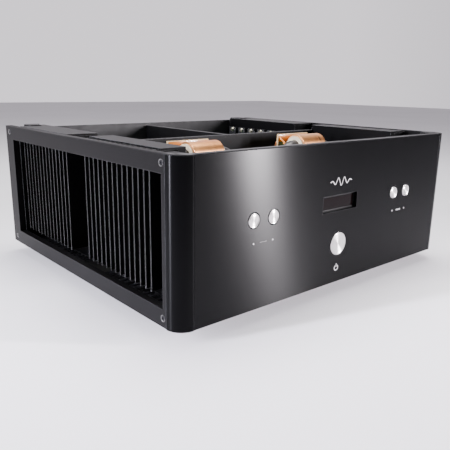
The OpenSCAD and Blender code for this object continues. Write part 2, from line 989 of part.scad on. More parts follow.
module terminal_knob(x) {
  knob_y = body_d + terminal_reach - knob_len;
  color("#222224")
    place()
      difference() {
        union() {
          rod_y(x, knob_y, terminal_z, knob_r, knob_len - 1);
          translate([x, knob_y + knob_len - 1, terminal_z])
            rotate([-90, 0, 0])
              cylinder(r1 = knob_r, r2 = knob_r - 1, h = 1);
        }
        rod_y(x, knob_y - cut, terminal_z, stud_r + knob_gap, knob_len + 2 * cut);
        for (i = [0 : flutes - 1])
          rod_y(x + (knob_r + 0.4) * cos(i * 360 / flutes), knob_y + 3,
                terminal_z + (knob_r + 0.4) * sin(i * 360 / flutes), flute_r, knob_len);
      }
}

front_panel();
corner_post(-1);  // corner_post_left
corner_post(1);  // corner_post_right
side_frame(-1);  // side_frame_left
side_frame(1);  // side_frame_right
base_plate();
rear_panel();
rear_posts();
cross_partition();
centre_partition();
heat_sink(-1, sink_front, sink_cap_x[0], false);  // heat_sink_front_left
heat_sink(-1, sink_rear, sink_cap_x[1], true);  // heat_sink_rear_left
heat_sink(1, sink_front, sink_cap_x[0], false);  // heat_sink_front_right
heat_sink(1, sink_rear, sink_cap_x[1], true);  // heat_sink_rear_right
feet();
foot_pads();
foot_screws();
side_screws();
rear_screws();
display_window();
display_module();
control_board();
small_button(-button_x[1]);  // input_down_button
small_button(-button_x[0]);  // input_up_button
small_button(button_x[0]);  // volume_down_button
small_button(button_x[1]);  // volume_up_button
power_button();
core(-coil_x);  // core_left
core(coil_x);  // core_right
windings(-coil_x);  // windings_left
windings(coil_x);  // windings_right
bobbins(-coil_x);  // bobbins_left
bobbins(coil_x);  // bobbins_right
transformer_frame(-coil_x);  // transformer_frame_left
transformer_frame(coil_x);  // transformer_frame_right
lead_board(-coil_x);  // lead_board_left
lead_board(coil_x);  // lead_board_right
supply_boards();
filter_capacitors();
amplifier_board(-1);  // amplifier_board_left
amplifier_board(1);  // amplifier_board_right
output_transistors(-1);  // output_transistors_left
output_transistors(1);  // output_transistors_right
transistor_screws();
input_board();
board_spacers();
mains_inlet();
fuse_drawer();
mains_switch_body();
mains_rocker();
phono_sockets();
xlr_shells();
xlr_inserts();
xlr_latch(-1);  // xlr_latch_left
xlr_latch(1);  // xlr_latch_right
speaker_terminals();
terminal_knob(-terminal_x[1]);  // knob_left_positive
terminal_knob(-terminal_x[0]);  // knob_left_negative
terminal_knob(terminal_x[0]);  // knob_right_negative
terminal_knob(terminal_x[1]);  // knob_right_positive
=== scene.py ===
"""Looks of an open-topped stereo amplifier: materials, markings, small parts and wiring around its CAD frame.

Camera, lights and textures are in metres. Meshes are drawn in millimetres, in the frame's own coordinates,
and are scaled to metres when they are done.
"""

import json
import math
import random

import bmesh
import bpy
from mathutils import Matrix, Vector


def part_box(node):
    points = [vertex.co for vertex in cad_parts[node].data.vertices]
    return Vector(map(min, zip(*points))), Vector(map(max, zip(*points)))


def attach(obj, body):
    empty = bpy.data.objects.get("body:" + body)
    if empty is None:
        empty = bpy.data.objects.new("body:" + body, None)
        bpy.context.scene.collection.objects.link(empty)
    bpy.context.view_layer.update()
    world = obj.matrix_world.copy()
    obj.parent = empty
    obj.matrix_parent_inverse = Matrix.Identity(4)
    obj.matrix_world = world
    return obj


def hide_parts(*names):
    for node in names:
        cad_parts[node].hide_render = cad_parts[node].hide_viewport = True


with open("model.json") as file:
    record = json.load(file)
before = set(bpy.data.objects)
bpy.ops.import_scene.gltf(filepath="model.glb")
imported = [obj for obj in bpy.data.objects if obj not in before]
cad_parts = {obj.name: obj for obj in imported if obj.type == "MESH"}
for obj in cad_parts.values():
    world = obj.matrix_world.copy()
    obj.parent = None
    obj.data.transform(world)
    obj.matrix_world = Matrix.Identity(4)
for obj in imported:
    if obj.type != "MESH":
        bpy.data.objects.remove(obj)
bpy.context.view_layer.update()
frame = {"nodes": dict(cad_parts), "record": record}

MM = 0.001
X, Y, Z = Vector((1, 0, 0)), Vector((0, 1, 0)), Vector((0, 0, 1))
SIDES = {"left": -1, "right": 1}
BOARD_T = 1.6
CHASSIS = "chassis"
INK = 0.06


# ---- Camera, lights and stage ----


def make_camera():
    """The viewpoint: left of the front corner and a little above the amplifier."""
    camera = bpy.data.objects.new("camera", bpy.data.cameras.new("camera"))
    bpy.context.scene.collection.objects.link(camera)
    yaw, pitch, roll = (math.radians(a) for a in (40.98, 14.50, 0.94))
    forward = Vector((math.sin(yaw) * math.cos(pitch), math.cos(yaw) * math.cos(pitch), -math.sin(pitch)))
    level = Vector((math.cos(yaw), -math.sin(yaw), 0))
    upright = level.cross(forward)
    right = level * math.cos(roll) + upright * math.sin(roll)
    up = upright * math.cos(roll) - level * math.sin(roll)
    turn = Matrix((right, up, -forward)).transposed().to_4x4()
    camera.matrix_world = Matrix.Translation((-0.4615, -0.5493, 0.2226)) @ turn
    camera.data.sensor_width = 36
    camera.data.lens = 42.86
    camera.data.clip_start = 0.01
    bpy.context.scene.camera = camera


def softbox(name, place, target, width, height, power, color=(1, 1, 1), spread=180):
    """A rectangular area light at place that faces target. Its beam is spread degrees wide."""
    data = bpy.data.lights.new(name, "AREA")
    data.shape = "RECTANGLE"
    data.size, data.size_y = width, height
    data.energy = power
    data.spread = math.radians(spread)
    data.color = color
    light = bpy.data.objects.new(name, data)
    light.location = place
    light.rotation_euler = (Vector(target) - Vector(place)).to_track_quat("-Z", "Y").to_euler()
    bpy.context.scene.collection.objects.link(light)


def make_lights():
    softbox("strip_front", (0.85, -1.21, 0.32), (-0.12, -0.206, 0.10), 0.080, 0.62, 10, (1.0, 0.95, 1.0), 60)
    softbox("panel_left", (-1.50, 0.55, 0.75), (-0.2, 0.0, 0.10), 0.9, 1.0, 16)
    softbox("panel_top", (0.15, 0.10, 1.5), (0.0, 0.0, 0.1), 1.0, 0.8, 38)
    softbox("strip_corner", (-1.37, 0.11, 0.35), (-0.21, -0.19, 0.10), 0.07, 0.7, 10, (0.86, 0.86, 1.0), 60)


def make_world():
    """A pale backdrop behind the object that darkens towards the viewer's side of the room."""
    world = bpy.data.worlds.new("studio")
    world.use_nodes = True
    nodes, links = world.node_tree.nodes, world.node_tree.links
    coords, split = nodes.new("ShaderNodeTexCoord"), nodes.new("ShaderNodeSeparateXYZ")
    spread, ramp = nodes.new("ShaderNodeMapRange"), nodes.new("ShaderNodeValToRGB")
    spread.inputs["From Min"].default_value, spread.inputs["From Max"].default_value = -0.2, 0.6
    ramp.color_ramp.elements[0].color = (0.030, 0.029, 0.033, 1)
    ramp.color_ramp.elements[1].color = (1.20, 1.14, 1.22, 1)
    links.new(coords.outputs["Generated"], split.inputs[0])
    links.new(split.outputs["Y"], spread.inputs["Value"])
    links.new(spread.outputs[0], ramp.inputs["Fac"])
    links.new(ramp.outputs["Color"], nodes["Background"].inputs["Color"])
    bpy.context.scene.world = world


# ---- Materials ----


LOOKS = {}  # every material made here, by name


def scaled(color, gain, lift=0.0):
    """A colour made brighter or darker, no channel past 1."""
    return tuple(min(1, c * gain + lift) for c in color)


class Look:
    """A material: one Principled shader, and short ways to add the nodes that vary it."""

    def __init__(self, name, color, roughness, metallic=0.0, **sockets):
        material = LOOKS[name] = bpy.data.materials.new(name)
        material.use_nodes = True
        self.tree = material.node_tree
        self.shader = self.tree.nodes["Principled BSDF"]
        self.color, self.roughness = color, roughness
        self.shade = color
        self.set(Base_Color=(*color, 1), Roughness=roughness, Metallic=metallic, **sockets)
        self.coords = self.tree.nodes.new("ShaderNodeTexCoord")
        self.normal = None

    def set(self, **sockets):
        for name, value in sockets.items():
            self.shader.inputs[name.replace("_", " ")].default_value = value
        return self

    def node(self, kind, inputs=None, **settings):
        made = self.tree.nodes.new("ShaderNode" + kind)
        for name, value in settings.items():
            setattr(made, name, value)
        for name, value in (inputs or {}).items():
            if isinstance(value, bpy.types.NodeSocket):
                self.tree.links.new(value, made.inputs[name])
            else:
                made.inputs[name].default_value = value
        return made

    def link(self, output, socket):
        self.tree.links.new(output, self.shader.inputs[socket])
        return self

    def at(self, stretch, source="Object", shift=(0, 0, 0)):
        """Texture coordinates scaled by stretch, after a shift."""
        moved = self.node("VectorMath", {0: self.coords.outputs[source], 1: shift}, operation="ADD")
        return self.node("VectorMath", {0: moved.outputs[0], 1: stretch}, operation="MULTIPLY").outputs[0]

    def noise(self, stretch, detail=3.0, source="Object"):
        settings = {"Vector": self.at(stretch, source), "Scale": 1.0, "Detail": detail}
        return self.node("TexNoise", settings).outputs["Fac"]

    def ramp(self, factor, stops):
        """A colour ramp from (place, grey or colour) stops."""
        ramp = self.node("ValToRGB", {"Fac": factor})
        while len(ramp.color_ramp.elements) < len(stops):
            ramp.color_ramp.elements.new(0.5)
        for element, (place, value) in zip(ramp.color_ramp.elements, stops):
            element.position = place
            element.color = (*((value,) * 3 if isinstance(value, (int, float)) else value), 1)
        return ramp.outputs["Color"]

    def mix(self, factor, a, b):
        made = self.node("Mix", data_type="RGBA")
        for index, value in ((0, factor), (6, a), (7, b)):
            if isinstance(value, bpy.types.NodeSocket):
                self.tree.links.new(value, made.inputs[index])
            else:
                made.inputs[index].default_value = value if index == 0 else (*value, 1)
        return made.outputs[2]

    def paint(self, shade):
        """Gives the base colour a shade that later calls can build on."""
        self.shade = shade
        return self.link(shade, "Base Color")

    def tone(self, factor, low=0.8, high=1.2):
        """The base colour varied from low to high times itself."""
        shades = [(0.3, scaled(self.color, low)), (0.7, scaled(self.color, high))]
        return self.paint(self.ramp(factor, shades))

    def rough(self, factor, spread):
        low, high = max(0.02, self.roughness - spread), min(1, self.roughness + spread)
        return self.link(self.ramp(factor, [(0.3, low), (0.7, high)]), "Roughness")

    def bump(self, height, strength, depth):
        """Adds relief, depth millimetres deep, to the relief there already."""
        settings = {"Height": height, "Strength": strength, "Distance": depth * MM}
        if self.normal is not None:
            settings["Normal"] = self.normal
        self.normal = self.node("Bump", settings).outputs["Normal"]
        return self.link(self.normal, "Normal")

    def edge_wear_and_highlight(self, radius, color, amount=3.0):
        """Rounds the shading at edges, radius in millimetres, and paints edge highlight and wear in another
        colour.
        """
        bevel = self.node("Bevel", {"Radius": radius * MM}, samples=6)
        geometry = self.node("NewGeometry")
        turn = self.node("VectorMath", {0: bevel.outputs[0], 1: geometry.outputs["Normal"]},
                         operation="DOT_PRODUCT")
        bend = self.node("Math", {0: 1.0, 1: turn.outputs["Value"]}, operation="SUBTRACT")
        # painted edge highlight, partly edge wear: the bevel mask that mixes in the lighter edge colour
        mask = self.node("Math", {0: bend.outputs[0], 1: amount}, operation="MULTIPLY", use_clamp=True)
        self.paint(self.mix(mask.outputs[0], self.shade, color))
        self.normal = bevel.outputs[0]
        return self.link(self.normal, "Normal")

    def brushed(self, axis, strength=0.75):
        """Stretches the reflections across grooves that run level round the object, or round an axis."""
        tangent = self.node("Tangent", direction_type="RADIAL", axis=axis)
        self.link(tangent.outputs[0], "Tangent")
        return self.set(Anisotropic=strength, Anisotropic_Rotation=0.25)


def anodised(name, color, roughness, along, edge=(0.20, 0.20, 0.21), metallic=0.0, brush=0.75, shine=0.06):
    """Black anodised aluminium with a fine brushed grain along one axis."""
    look = Look(name, color, roughness, metallic, Specular_IOR_Level=shine)
    fine = tuple(9 if axis == along else 2400 for axis in "XYZ")
    broad = tuple(3 if axis == along else 1500 for axis in "XYZ")
    streaks = look.noise(broad, 4)
    look.tone(streaks, 0.85, 1.2).rough(streaks, 0.008)
    # painted edge highlight, partly edge wear: edges far lighter than the black anodising
    look.edge_wear_and_highlight(0.45, edge, 2.0)
    look.bump(look.noise(fine, 3), 0.015, 0.01)
    if brush:
        look.brushed("Z", brush)


def coated(name, color, roughness=0.45, grain=1400, depth=0.06, edge=None, shine=0.5):
    """Powder coat or moulded plastic: a fine orange peel and a slight change of tone."""
    look = Look(name, color, roughness, Specular_IOR_Level=shine)
    look.tone(look.noise((60, 60, 60)), 0.85, 1.15).rough(look.noise((110, 90, 100)), 0.06)
    # painted edge highlight, partly edge wear: edges lighter than the coat
    look.edge_wear_and_highlight(0.3, edge or scaled(color, 1.8, 0.02), 1.4)
    look.bump(look.noise((grain,) * 3, 2), 0.35, depth)


def bare_metal(name, color, roughness, scratches=(40, 600, 600)):
    """Bare or plated metal with faint directional scratches."""
    look = Look(name, color, roughness, 1.0)
    lines = look.noise(scratches, 5)
    look.tone(look.noise((80, 80, 80), 5), 0.85, 1.08).rough(lines, 0.09)
    # painted edge highlight, partly edge wear: edges a little lighter than the metal
    look.edge_wear_and_highlight(0.25, scaled(color, 1.2), 1.5)
    look.bump(lines, 0.12, 0.03)


def spun_aluminium():
    """A turned face: rings too fine to count, whose glints lie in sectors about the middle."""
    look = Look("button_aluminium", (0.64, 0.62, 0.61), 0.26, 1.0)
    rings = look.node("TexWave", {"Vector": look.at((1, 0, 1), "Generated", (-0.5, 0, -0.5)), "Scale": 9.0,
                                  "Distortion": 0.6, "Detail": 3.0, "Detail Scale": 6.0},
                      wave_type="RINGS", rings_direction="SPHERICAL")
    look.tone(look.noise((900, 900, 900), 4), 0.80, 1.12).rough(rings.outputs["Fac"], 0.07)
    # painted edge highlight, partly edge wear: paler edges on the turned caps
    look.edge_wear_and_highlight(0.2, (0.85, 0.84, 0.83), 1.2)
    look.bump(rings.outputs["Fac"], 0.10, 0.02)
    look.brushed("Y", 0.85)


def copper_foil():
    """Copper foil wrapped round a winding: soft dents, fine creases along it and a faint tarnish."""
    look = Look("copper_foil", (0.90, 0.42, 0.17), 0.34, 1.0)
    tarnish = look.noise((24, 40, 40), 5)
    shades = [(0.30, (0.78, 0.31, 0.11)), (0.55, (0.90, 0.42, 0.17)), (0.75, (0.95, 0.52, 0.25))]
    look.paint(look.ramp(tarnish, shades)).rough(look.noise((260, 60, 60), 4), 0.07)
    # painted highlight, partly edge wear: a pale pinkish edge on the foil
    look.edge_wear_and_highlight(0.4, (1.0, 0.78, 0.60), 1.5)
    look.bump(look.noise((30, 60, 60), 2), 0.25, 0.3)
    look.bump(look.noise((12, 300, 300), 3), 0.08, 0.04)


def circuit_board():
    """Green solder mask over copper: traces in right-angled runs, and a speckle of holes."""
    look = Look("board_green", (0.012, 0.085, 0.040), 0.32, Coat_Weight=0.4, Coat_Roughness=0.12)
    traces = look.node("TexVoronoi", {"Vector": look.at((170, 170, 0)), "Scale": 1.0},
                       distance="CHEBYCHEV", feature="F1")
    lines = look.ramp(traces.outputs["Distance"], [(0.30, 0.0), (0.34, 1.0), (0.40, 1.0), (0.44, 0.0)])
    pads = look.node("TexVoronoi", {"Vector": look.at((390, 390, 0)), "Scale": 1.0}, feature="F1")
    holes = look.ramp(pads.outputs["Distance"], [(0.10, 1.0), (0.14, 0.0)])
    traced = look.mix(lines, (0.010, 0.070, 0.034), (0.030, 0.165, 0.070))
    # painted edge highlight, partly edge wear: paler board edges
    look.paint(look.mix(holes, traced, (0.55, 0.53, 0.47))).edge_wear_and_highlight(0.2, (0.30, 0.33, 0.16), 1.5)
    look.bump(lines, 0.4, 0.05)


def display_glass():
    """Tinted glass over an unlit character display, whose dots only just show."""
    look = Look("display_glass", (0.0012, 0.0008, 0.0009), 0.10, Specular_IOR_Level=0.04)
    cells = look.node("TexVoronoi", {"Vector": look.at((1250, 1, 1250)), "Scale": 1.0, "Randomness": 0.0},
                      feature="F1", distance="CHEBYCHEV")
    dots = look.ramp(cells.outputs["Distance"], [(0.30, 1.0), (0.42, 0.0)])
    look.paint(look.mix(dots, (0.0010, 0.0006, 0.0007), (0.0040, 0.0018, 0.0020)))
    look.rough(look.noise((50, 50, 50)), 0.03)


def laminate(name, color):
    """Cut laminate or cream nylon: a faint fibre, slightly translucent edges."""
    look = Look(name, color, 0.45, Subsurface_Weight=0.08, Subsurface_Radius=(0.002, 0.0015, 0.001))
    look.tone(look.noise((300, 300, 40), 4), 0.88, 1.08).rough(look.noise((90, 90, 90)), 0.08)
    # painted edge highlight, partly edge wear: edges lighter than the laminate
    look.edge_wear_and_highlight(0.3, scaled(color, 1.15), 1.2)
    look.bump(look.noise((700, 700, 700), 3), 0.2, 0.05)


def wound_steel():
    """The wound strip of a ring core: close layers under dark varnish."""
    look = Look("core_steel", (0.05, 0.045, 0.043), 0.35, 0.7)
    layers = look.noise((5, 1400, 1400), 3)
    look.tone(layers, 0.6, 1.6).rough(layers, 0.10)
    look.bump(layers, 0.4, 0.08)


def sleeve(name, color, roughness=0.32):
    """The plastic of a wire, a tube or a shrunk sleeve."""
    look = Look(name, color, roughness, Coat_Weight=0.15, Coat_Roughness=0.2)
    look.tone(look.noise((45, 45, 45), 4), 0.82, 1.12).rough(look.noise((160, 160, 160)), 0.07)
    look.bump(look.noise((420, 420, 420), 2), 0.15, 0.08)


def rubber():
    look = Look("rubber", (0.018, 0.018, 0.019), 0.75)
    look.tone(look.noise((120, 120, 120)), 0.7, 1.5).rough(look.noise((200, 200, 200)), 0.08)
    look.bump(look.noise((900, 900, 900), 4), 0.5, 0.10)


def matt_floor():
    look = Look("floor", (0.90, 0.88, 0.92), 0.75)
    look.tone(look.noise((1.5, 1.5, 1.5), 3), 0.97, 1.03)
    look.bump(look.noise((900, 900, 900), 2), 0.05, 0.1)


def make_materials():
    """Makes every material. The first group has the record's slot names."""
    # The edge colours given here are painted edge highlights, partly edge wear, e.g. the bright fin edges.
    anodised("front_anodised", (0.0010, 0.0010, 0.0012), 0.24, "X", brush=1.0)
    anodised("corner_anodised", (0.001, 0.001, 0.0012), 0.25, "X", brush=0.95, shine=0.05)
    anodised("side_anodised", (0.004, 0.0038, 0.004), 0.42, "Y", (0.12, 0.115, 0.12))
    anodised("heat_sink_black", (0.002, 0.002, 0.0022), 0.36, "Z", (0.40, 0.40, 0.41), brush=0, shine=0.05)
    anodised("foot_anodised", (0.030, 0.030, 0.032), 0.30, "Z", metallic=0.5, brush=0.5, shine=0.5)
    coated("black_sheet", (0.008, 0.008, 0.009), 0.50, 1000, shine=0.3)
    coated("inner_sheet", (0.003, 0.003, 0.0033), 0.42, 1200, edge=(0.20, 0.19, 0.20), shine=0.10)
    coated("display_body", (0.002, 0.002, 0.002), edge=(0.004, 0.004, 0.004), shine=0.08)
    coated("device_black", (0.014, 0.014, 0.015), 0.42, 2200, 0.04)
    coated("black_plastic", (0.016, 0.016, 0.017), 0.40, 1500, 0.05)
    coated("socket_metal", (0.040, 0.041, 0.044), 0.36)
    bare_metal("dark_steel", (0.020, 0.020, 0.022), 0.40)
    bare_metal("zinc_steel", (0.36, 0.34, 0.27), 0.34)
    bare_metal("spacer_brass", (0.70, 0.53, 0.24), 0.28)
    bare_metal("gold_plate", (0.92, 0.68, 0.30), 0.20)
    laminate("cream_plastic", (0.56, 0.49, 0.35))
    laminate("cream_board", (0.46, 0.33, 0.16))
    sleeve("can_sleeve", (0.012, 0.022, 0.070), 0.25)
    sleeve("knob_plastic", (0.016, 0.016, 0.018), 0.20)
    for maker in (wound_steel, copper_foil, circuit_board, display_glass, spun_aluminium, rubber):
        maker()

    matt_floor()
    bare_metal("tin", (0.72, 0.72, 0.70), 0.33)
    bare_metal("aluminium", (0.80, 0.80, 0.81), 0.34)
    bare_metal("copper_wire", (0.78, 0.34, 0.14), 0.22, (500, 500, 500))
    sleeve("amber_film", (0.52, 0.19, 0.030), 0.18)
    plastics = {
        "mark_white": (0.62, 0.61, 0.62), "red": (0.42, 0.020, 0.016), "blue": (0.020, 0.070, 0.32),
        "yellow": (0.70, 0.46, 0.04), "orange": (0.80, 0.27, 0.035), "brown": (0.22, 0.075, 0.022),
        "white": (0.74, 0.72, 0.68), "grey": (0.22, 0.22, 0.23), "green": (0.03, 0.22, 0.07),
        "beige": (0.62, 0.47, 0.28), "black": (0.014, 0.014, 0.015), "lilac": (0.20, 0.12, 0.30),
    }
    for name, color in plastics.items():
        sleeve(name, color)


# ---- Mesh building ----


def across(axis):
    """Two unit vectors at right angles to axis and to each other."""
    axis = Vector(axis).normalized()
    first = (Z if abs(axis.z) < 0.9 else X).cross(axis).normalized()
    return first, axis.cross(first)


class Piece:
    """One mesh piece, built up from shapes. Each shape names its material."""

    def __init__(self, name, slot, body=CHASSIS):
        self.name, self.slot, self.body = name, slot, body
        self.bm = bmesh.new()
        self.materials = []

    def paint(self, faces, material):
        if material not in self.materials:
            self.materials.append(material)
        for face in faces:
            face.material_index = self.materials.index(material)

    def box(self, low, high, material, bevel=0.0):
        """A box with its edges rounded by bevel."""
        low, high = Vector(low), Vector(high)
        made = bmesh.ops.create_cube(self.bm, size=1)["verts"]
        for v in made:
            v.co = Vector([low[i] + (high[i] - low[i]) * (v.co[i] + 0.5) for i in range(3)])
        faces = {f for v in made for f in v.link_faces}
        self.paint(faces, material)
        if bevel:
            edges = list(dict.fromkeys(e for v in made for e in v.link_edges))
            bmesh.ops.bevel(self.bm, geom=edges, offset=bevel, segments=2, profile=0.6, affect="EDGES",
                            clamp_overlap=True, material=self.materials.index(material))

    def lathe(self, profile, origin, axis, material, segments=28):
        """Turns a profile of (distance along the axis, radius) points about the axis through origin.

        A profile whose last point is its first makes a ring. Any other is closed by flat ends.
        """
        origin, axis = Vector(origin), Vector(axis).normalized()
        u, v = across(axis)
        rings = []
        ring_shaped = profile[0] == profile[-1]
        for along, radius in profile[:-1] if ring_shaped else profile:
            centre = origin + axis * along
            if radius < 1e-6:
                rings.append([self.bm.verts.new(centre)])
            else:
                angles = [math.tau * i / segments for i in range(segments)]
                spokes = [u * math.cos(a) + v * math.sin(a) for a in angles]
                rings.append([self.bm.verts.new(centre + spoke * radius) for spoke in spokes])
        if ring_shaped:
            rings.append(rings[0])
        faces = []
        for lower, upper in zip(rings, rings[1:]):
            for i in range(segments):
                j = (i + 1) % segments
                loop = [ring[k % len(ring)] for ring, k in ((lower, i), (lower, j), (upper, j), (upper, i))]
                corners = list(dict.fromkeys(loop))
                if len(corners) > 2:
                    faces.append(self.bm.faces.new(corners))
        if not ring_shaped:
            faces += [self.bm.faces.new(ring) for ring in (rings[0], rings[-1]) if len(ring) > 1]
        self.paint(faces, material)

    def ring(self, profile, origin, axis, material, segments):
        """A lathe whose profile closes on itself."""
        self.lathe([*profile, profile[0]], origin, axis, material, segments)

    def rod(self, start, end, radius, material, segments=16, bevel=0.0):
        """A round rod with its end edges broken by bevel."""
        start, end = Vector(start), Vector(end)
        length = (end - start).length
        profile = [(0, radius - bevel), (bevel, radius), (length - bevel, radius), (length, radius - bevel)]
        if not bevel:
            profile = [(0, radius), (length, radius)]
        self.lathe(profile, start, end - start, material, segments)

    def prism(self, outline, origin, u, v, depth, material):
        """A flat outline in the plane of u and v, given depth along their normal."""
        origin, u, v = Vector(origin), Vector(u), Vector(v)
        out = u.cross(v).normalized() * depth
        base = [self.bm.verts.new(origin + u * a + v * b) for a, b in outline]
        top = [self.bm.verts.new(p.co + out) for p in base]
        count = len(base)
        faces = [self.bm.faces.new(base), self.bm.faces.new(top)]
        for i in range(count):
            j = (i + 1) % count
            faces.append(self.bm.faces.new([base[i], base[j], top[j], top[i]]))
        self.paint(faces, material)

    def tube(self, points, radius, material, segments=8, smooth=4):
        """A wire along a smooth curve through points."""
        path = smooth_path([Vector(p) for p in points], smooth)
        faces, rings = [], []
        side = across(path[1] - path[0])[0]
        for i, point in enumerate(path):
            ahead = (path[min(i + 1, len(path) - 1)] - path[max(i - 1, 0)]).normalized()
            side = (side - ahead * side.dot(ahead)).normalized()
            other = ahead.cross(side)
            angles = [math.tau * k / segments for k in range(segments)]
            spokes = [side * math.cos(a) + other * math.sin(a) for a in angles]
            rings.append([self.bm.verts.new(point + spoke * radius) for spoke in spokes])
        for lower, upper in zip(rings, rings[1:]):
            for k in range(segments):
                m = (k + 1) % segments
                faces.append(self.bm.faces.new([lower[k], lower[m], upper[m], upper[k]]))
        faces += [self.bm.faces.new(rings[0]), self.bm.faces.new(rings[-1])]
        self.paint(faces, material)

    def ribbon(self, points, width, origin, u, v, depth, material):
        """A line of even width through points in the plane of u and v, with mitred corners."""
        flat = [Vector(p) for p in points]
        left, right = [], []
        for i, p in enumerate(flat):
            a = (p - flat[i - 1]).normalized() if i else (flat[1] - p).normalized()
            b = (flat[i + 1] - p).normalized() if i + 1 < len(flat) else a
            way = (a + b).normalized()
            normal = Vector((-way.y, way.x))
            reach = width / 2 / max(0.4, normal.dot(Vector((-a.y, a.x))))
            left.append(p + normal * reach)
            right.append(p - normal * reach)
        self.prism([tuple(p) for p in left + right[::-1]], origin, u, v, depth, material)

    def sign(self, points, width, place, right=X):
        """A printed line on an upright face, where right is the reader's right."""
        self.ribbon(points, width, place, right, Z, INK, "mark_white")

    def done(self, sharp=35, replaces=()):
        """Makes the object, which rides on its body."""
        bmesh.ops.recalc_face_normals(self.bm, faces=self.bm.faces)
        bmesh.ops.scale(self.bm, vec=(MM, MM, MM), verts=self.bm.verts)
        mesh = bpy.data.meshes.new(self.name)
        self.bm.to_mesh(mesh)
        self.bm.free()
        for name in self.materials:
            mesh.materials.append(LOOKS[name])
        for polygon in mesh.polygons:
            polygon.use_smooth = True
        mesh.set_sharp_from_angle(angle=math.radians(sharp))
        made = bpy.data.objects.new(self.name, mesh)
        bpy.context.scene.collection.objects.link(made)
        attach(made, self.body)
        if replaces:
            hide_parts(*replaces)


def smooth_path(points, steps):
    """A Catmull-Rom curve through points, with steps stretches between each two."""
    padded = [points[0] * 2 - points[1], *points, points[-1] * 2 - points[-2]]
    path = []
    for a, b, c, d in zip(padded, padded[1:], padded[2:], padded[3:]):
        for i in range(steps):
            t = i / steps
            path.append(0.5 * (2 * b + (c - a) * t + (2 * a - 5 * b + 4 * c - d) * t * t
                               + (3 * b - a - 3 * c + d) * t ** 3))
    return path + [points[-1]]


def arc(radius, start, step, count):
    """Points round a circle, from start degrees in steps of so many degrees."""
    turns = [math.radians(start + step * i) for i in range(count)]
    return [(radius * math.cos(a), radius * math.sin(a)) for a in turns]


def corners(a, b):
    """The four corners of a rectangle 2a wide and 2b high about the origin."""
    return (-a, -b), (a, -b), (-a, b), (a, b)


def span(node):
    """The lowest and highest corners of a CAD node, in millimetres."""
    return [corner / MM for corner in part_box(node)]


def middle(node):
    low, high = span(node)
    return (low + high) / 2


# ---- Front panel ----

SMALL_BUTTONS = (("input_down_button", "input_up_button"), ("volume_down_button", "volume_up_button"))
BUTTONS = (*SMALL_BUTTONS[0], *SMALL_BUTTONS[1], "power_button")


def front_markings():
    """Printed on the panel: a plain waveform, signs under the keys and the usual sign for power."""
    face = span("front_panel")[0].y
    piece = Piece("front_markings", "front_anodised")

    def draw(points, width, x, z):
        piece.sign(points, width, (x, face, z))

    display = middle("display_window")
    steps = 96
    spread = [i / steps for i in range(steps + 1)]
    wave = [(36 * (t - 0.5), 4.4 * math.sin(7 * math.pi * t) * math.sin(math.pi * t)) for t in spread]
    draw(wave, 0.6, display.x - 1, display.z + 23.3)
    for (left, right), tall in zip(SMALL_BUTTONS, (0.15, 0.9)):
        low, high = middle(left), middle(right)
        z = low.z - 22.3
        for x, way in ((low.x, -1), (high.x, 1)):
            arrow = [(1.1 * way, 0), (-0.9 * way, 1.1), (-0.9 * way, -1.1)]
            piece.prism(arrow, (x, face, z), X, Z, INK, "mark_white")
        for i in range(6):
            draw([(0, -tall), (0, tall)], 0.8, (low.x + high.x) / 2 + (i - 2.5) * 1.6, z)
    power = middle("power_button")
    draw(arc(3.0, 52, -7.1, 41), 0.8, power.x, power.z - 27.6)
    draw([(0, 0.4), (0, 4.6)], 0.8, power.x, power.z - 27.6)
    piece.done()


def button_caps():
    """Turned aluminium caps in place of the plain buttons: a dished face inside a rolled rim."""
    collar = span("front_panel")[1].y + 0.3
    for node in BUTTONS:
        low, high = span(node)
        big = node == "power_button"
        centre = ((low.x + high.x) / 2, low.y, (low.z + high.z) / 2)
        flange = (high.x - low.x) / 2
        radius = flange - 2.7
        rim, dish, stem = (1.3, 0.55, 3.5) if big else (0.7, 0.25, 2.0)
        inner, length, back = radius - 2 * rim, high.y - low.y, collar - low.y
        face = [(dish * (1 - t * t), inner * t) for t in (i / 8 for i in range(8))]
        groove = [(0.30, inner), (0.06, radius - 1.5 * rim)]
        round_over = [(rim / 2 * (1 - math.sin(a)), radius - rim / 2 + rim / 2 * math.cos(a))
                      for a in (math.radians(90 - 22.5 * i) for i in range(5))]
        behind = [(back, radius), (back, flange), (back + 1.5, flange), (back + 1.5, stem),
                  (length - 0.3, stem), (length, stem - 0.3), (length, 0)]
        cap = Piece(node + "_cap", "button_aluminium", node)
        cap.lathe(face + groove + round_over + behind, centre, Y, "button_aluminium", 72 if big else 56)
        cap.done(30, [node])


def display_mask():
    """The black mask around the characters, just in front of the glass."""
    low, high = span("display_window")
    lap, width = 2.72, 2.4
    x0, x1, z0, z1 = low.x + lap, high.x - lap, low.z + lap, high.z - lap
    front, back = low.y - 0.2, low.y - 0.01
    piece = Piece("display_mask", "display_body")
    for a, b in (((x0, z0), (x1, z0 + width)), ((x0, z1 - width), (x1, z1)),
                 ((x0, z0 + width), (x0 + width, z1 - width)), ((x1 - width, z0 + width), (x1, z1 - width))):
        piece.box((a[0], front, a[1]), (b[0], back, b[1]), "display_body", 0.08)
    piece.done()


# ---- Transformers ----


def winding_tape(side):
    """Amber tape over the lap of each copper wrap."""
    low, high = span("windings_" + side)
    radius = (high.y - low.y) / 2
    inner, outer = radius - 0.2, radius + 0.15
    tape = Piece("winding_tape_" + side, "copper_foil")
    lap = arc(outer, 28, -3, 9) + arc(inner, 4, 3, 9)
    for z in (high.z - radius, low.z + radius):
        tape.prism(lap, (low.x + 2, (low.y + high.y) / 2, z), Y, Z, high.x - low.x - 4, "amber_film")
    tape.done()


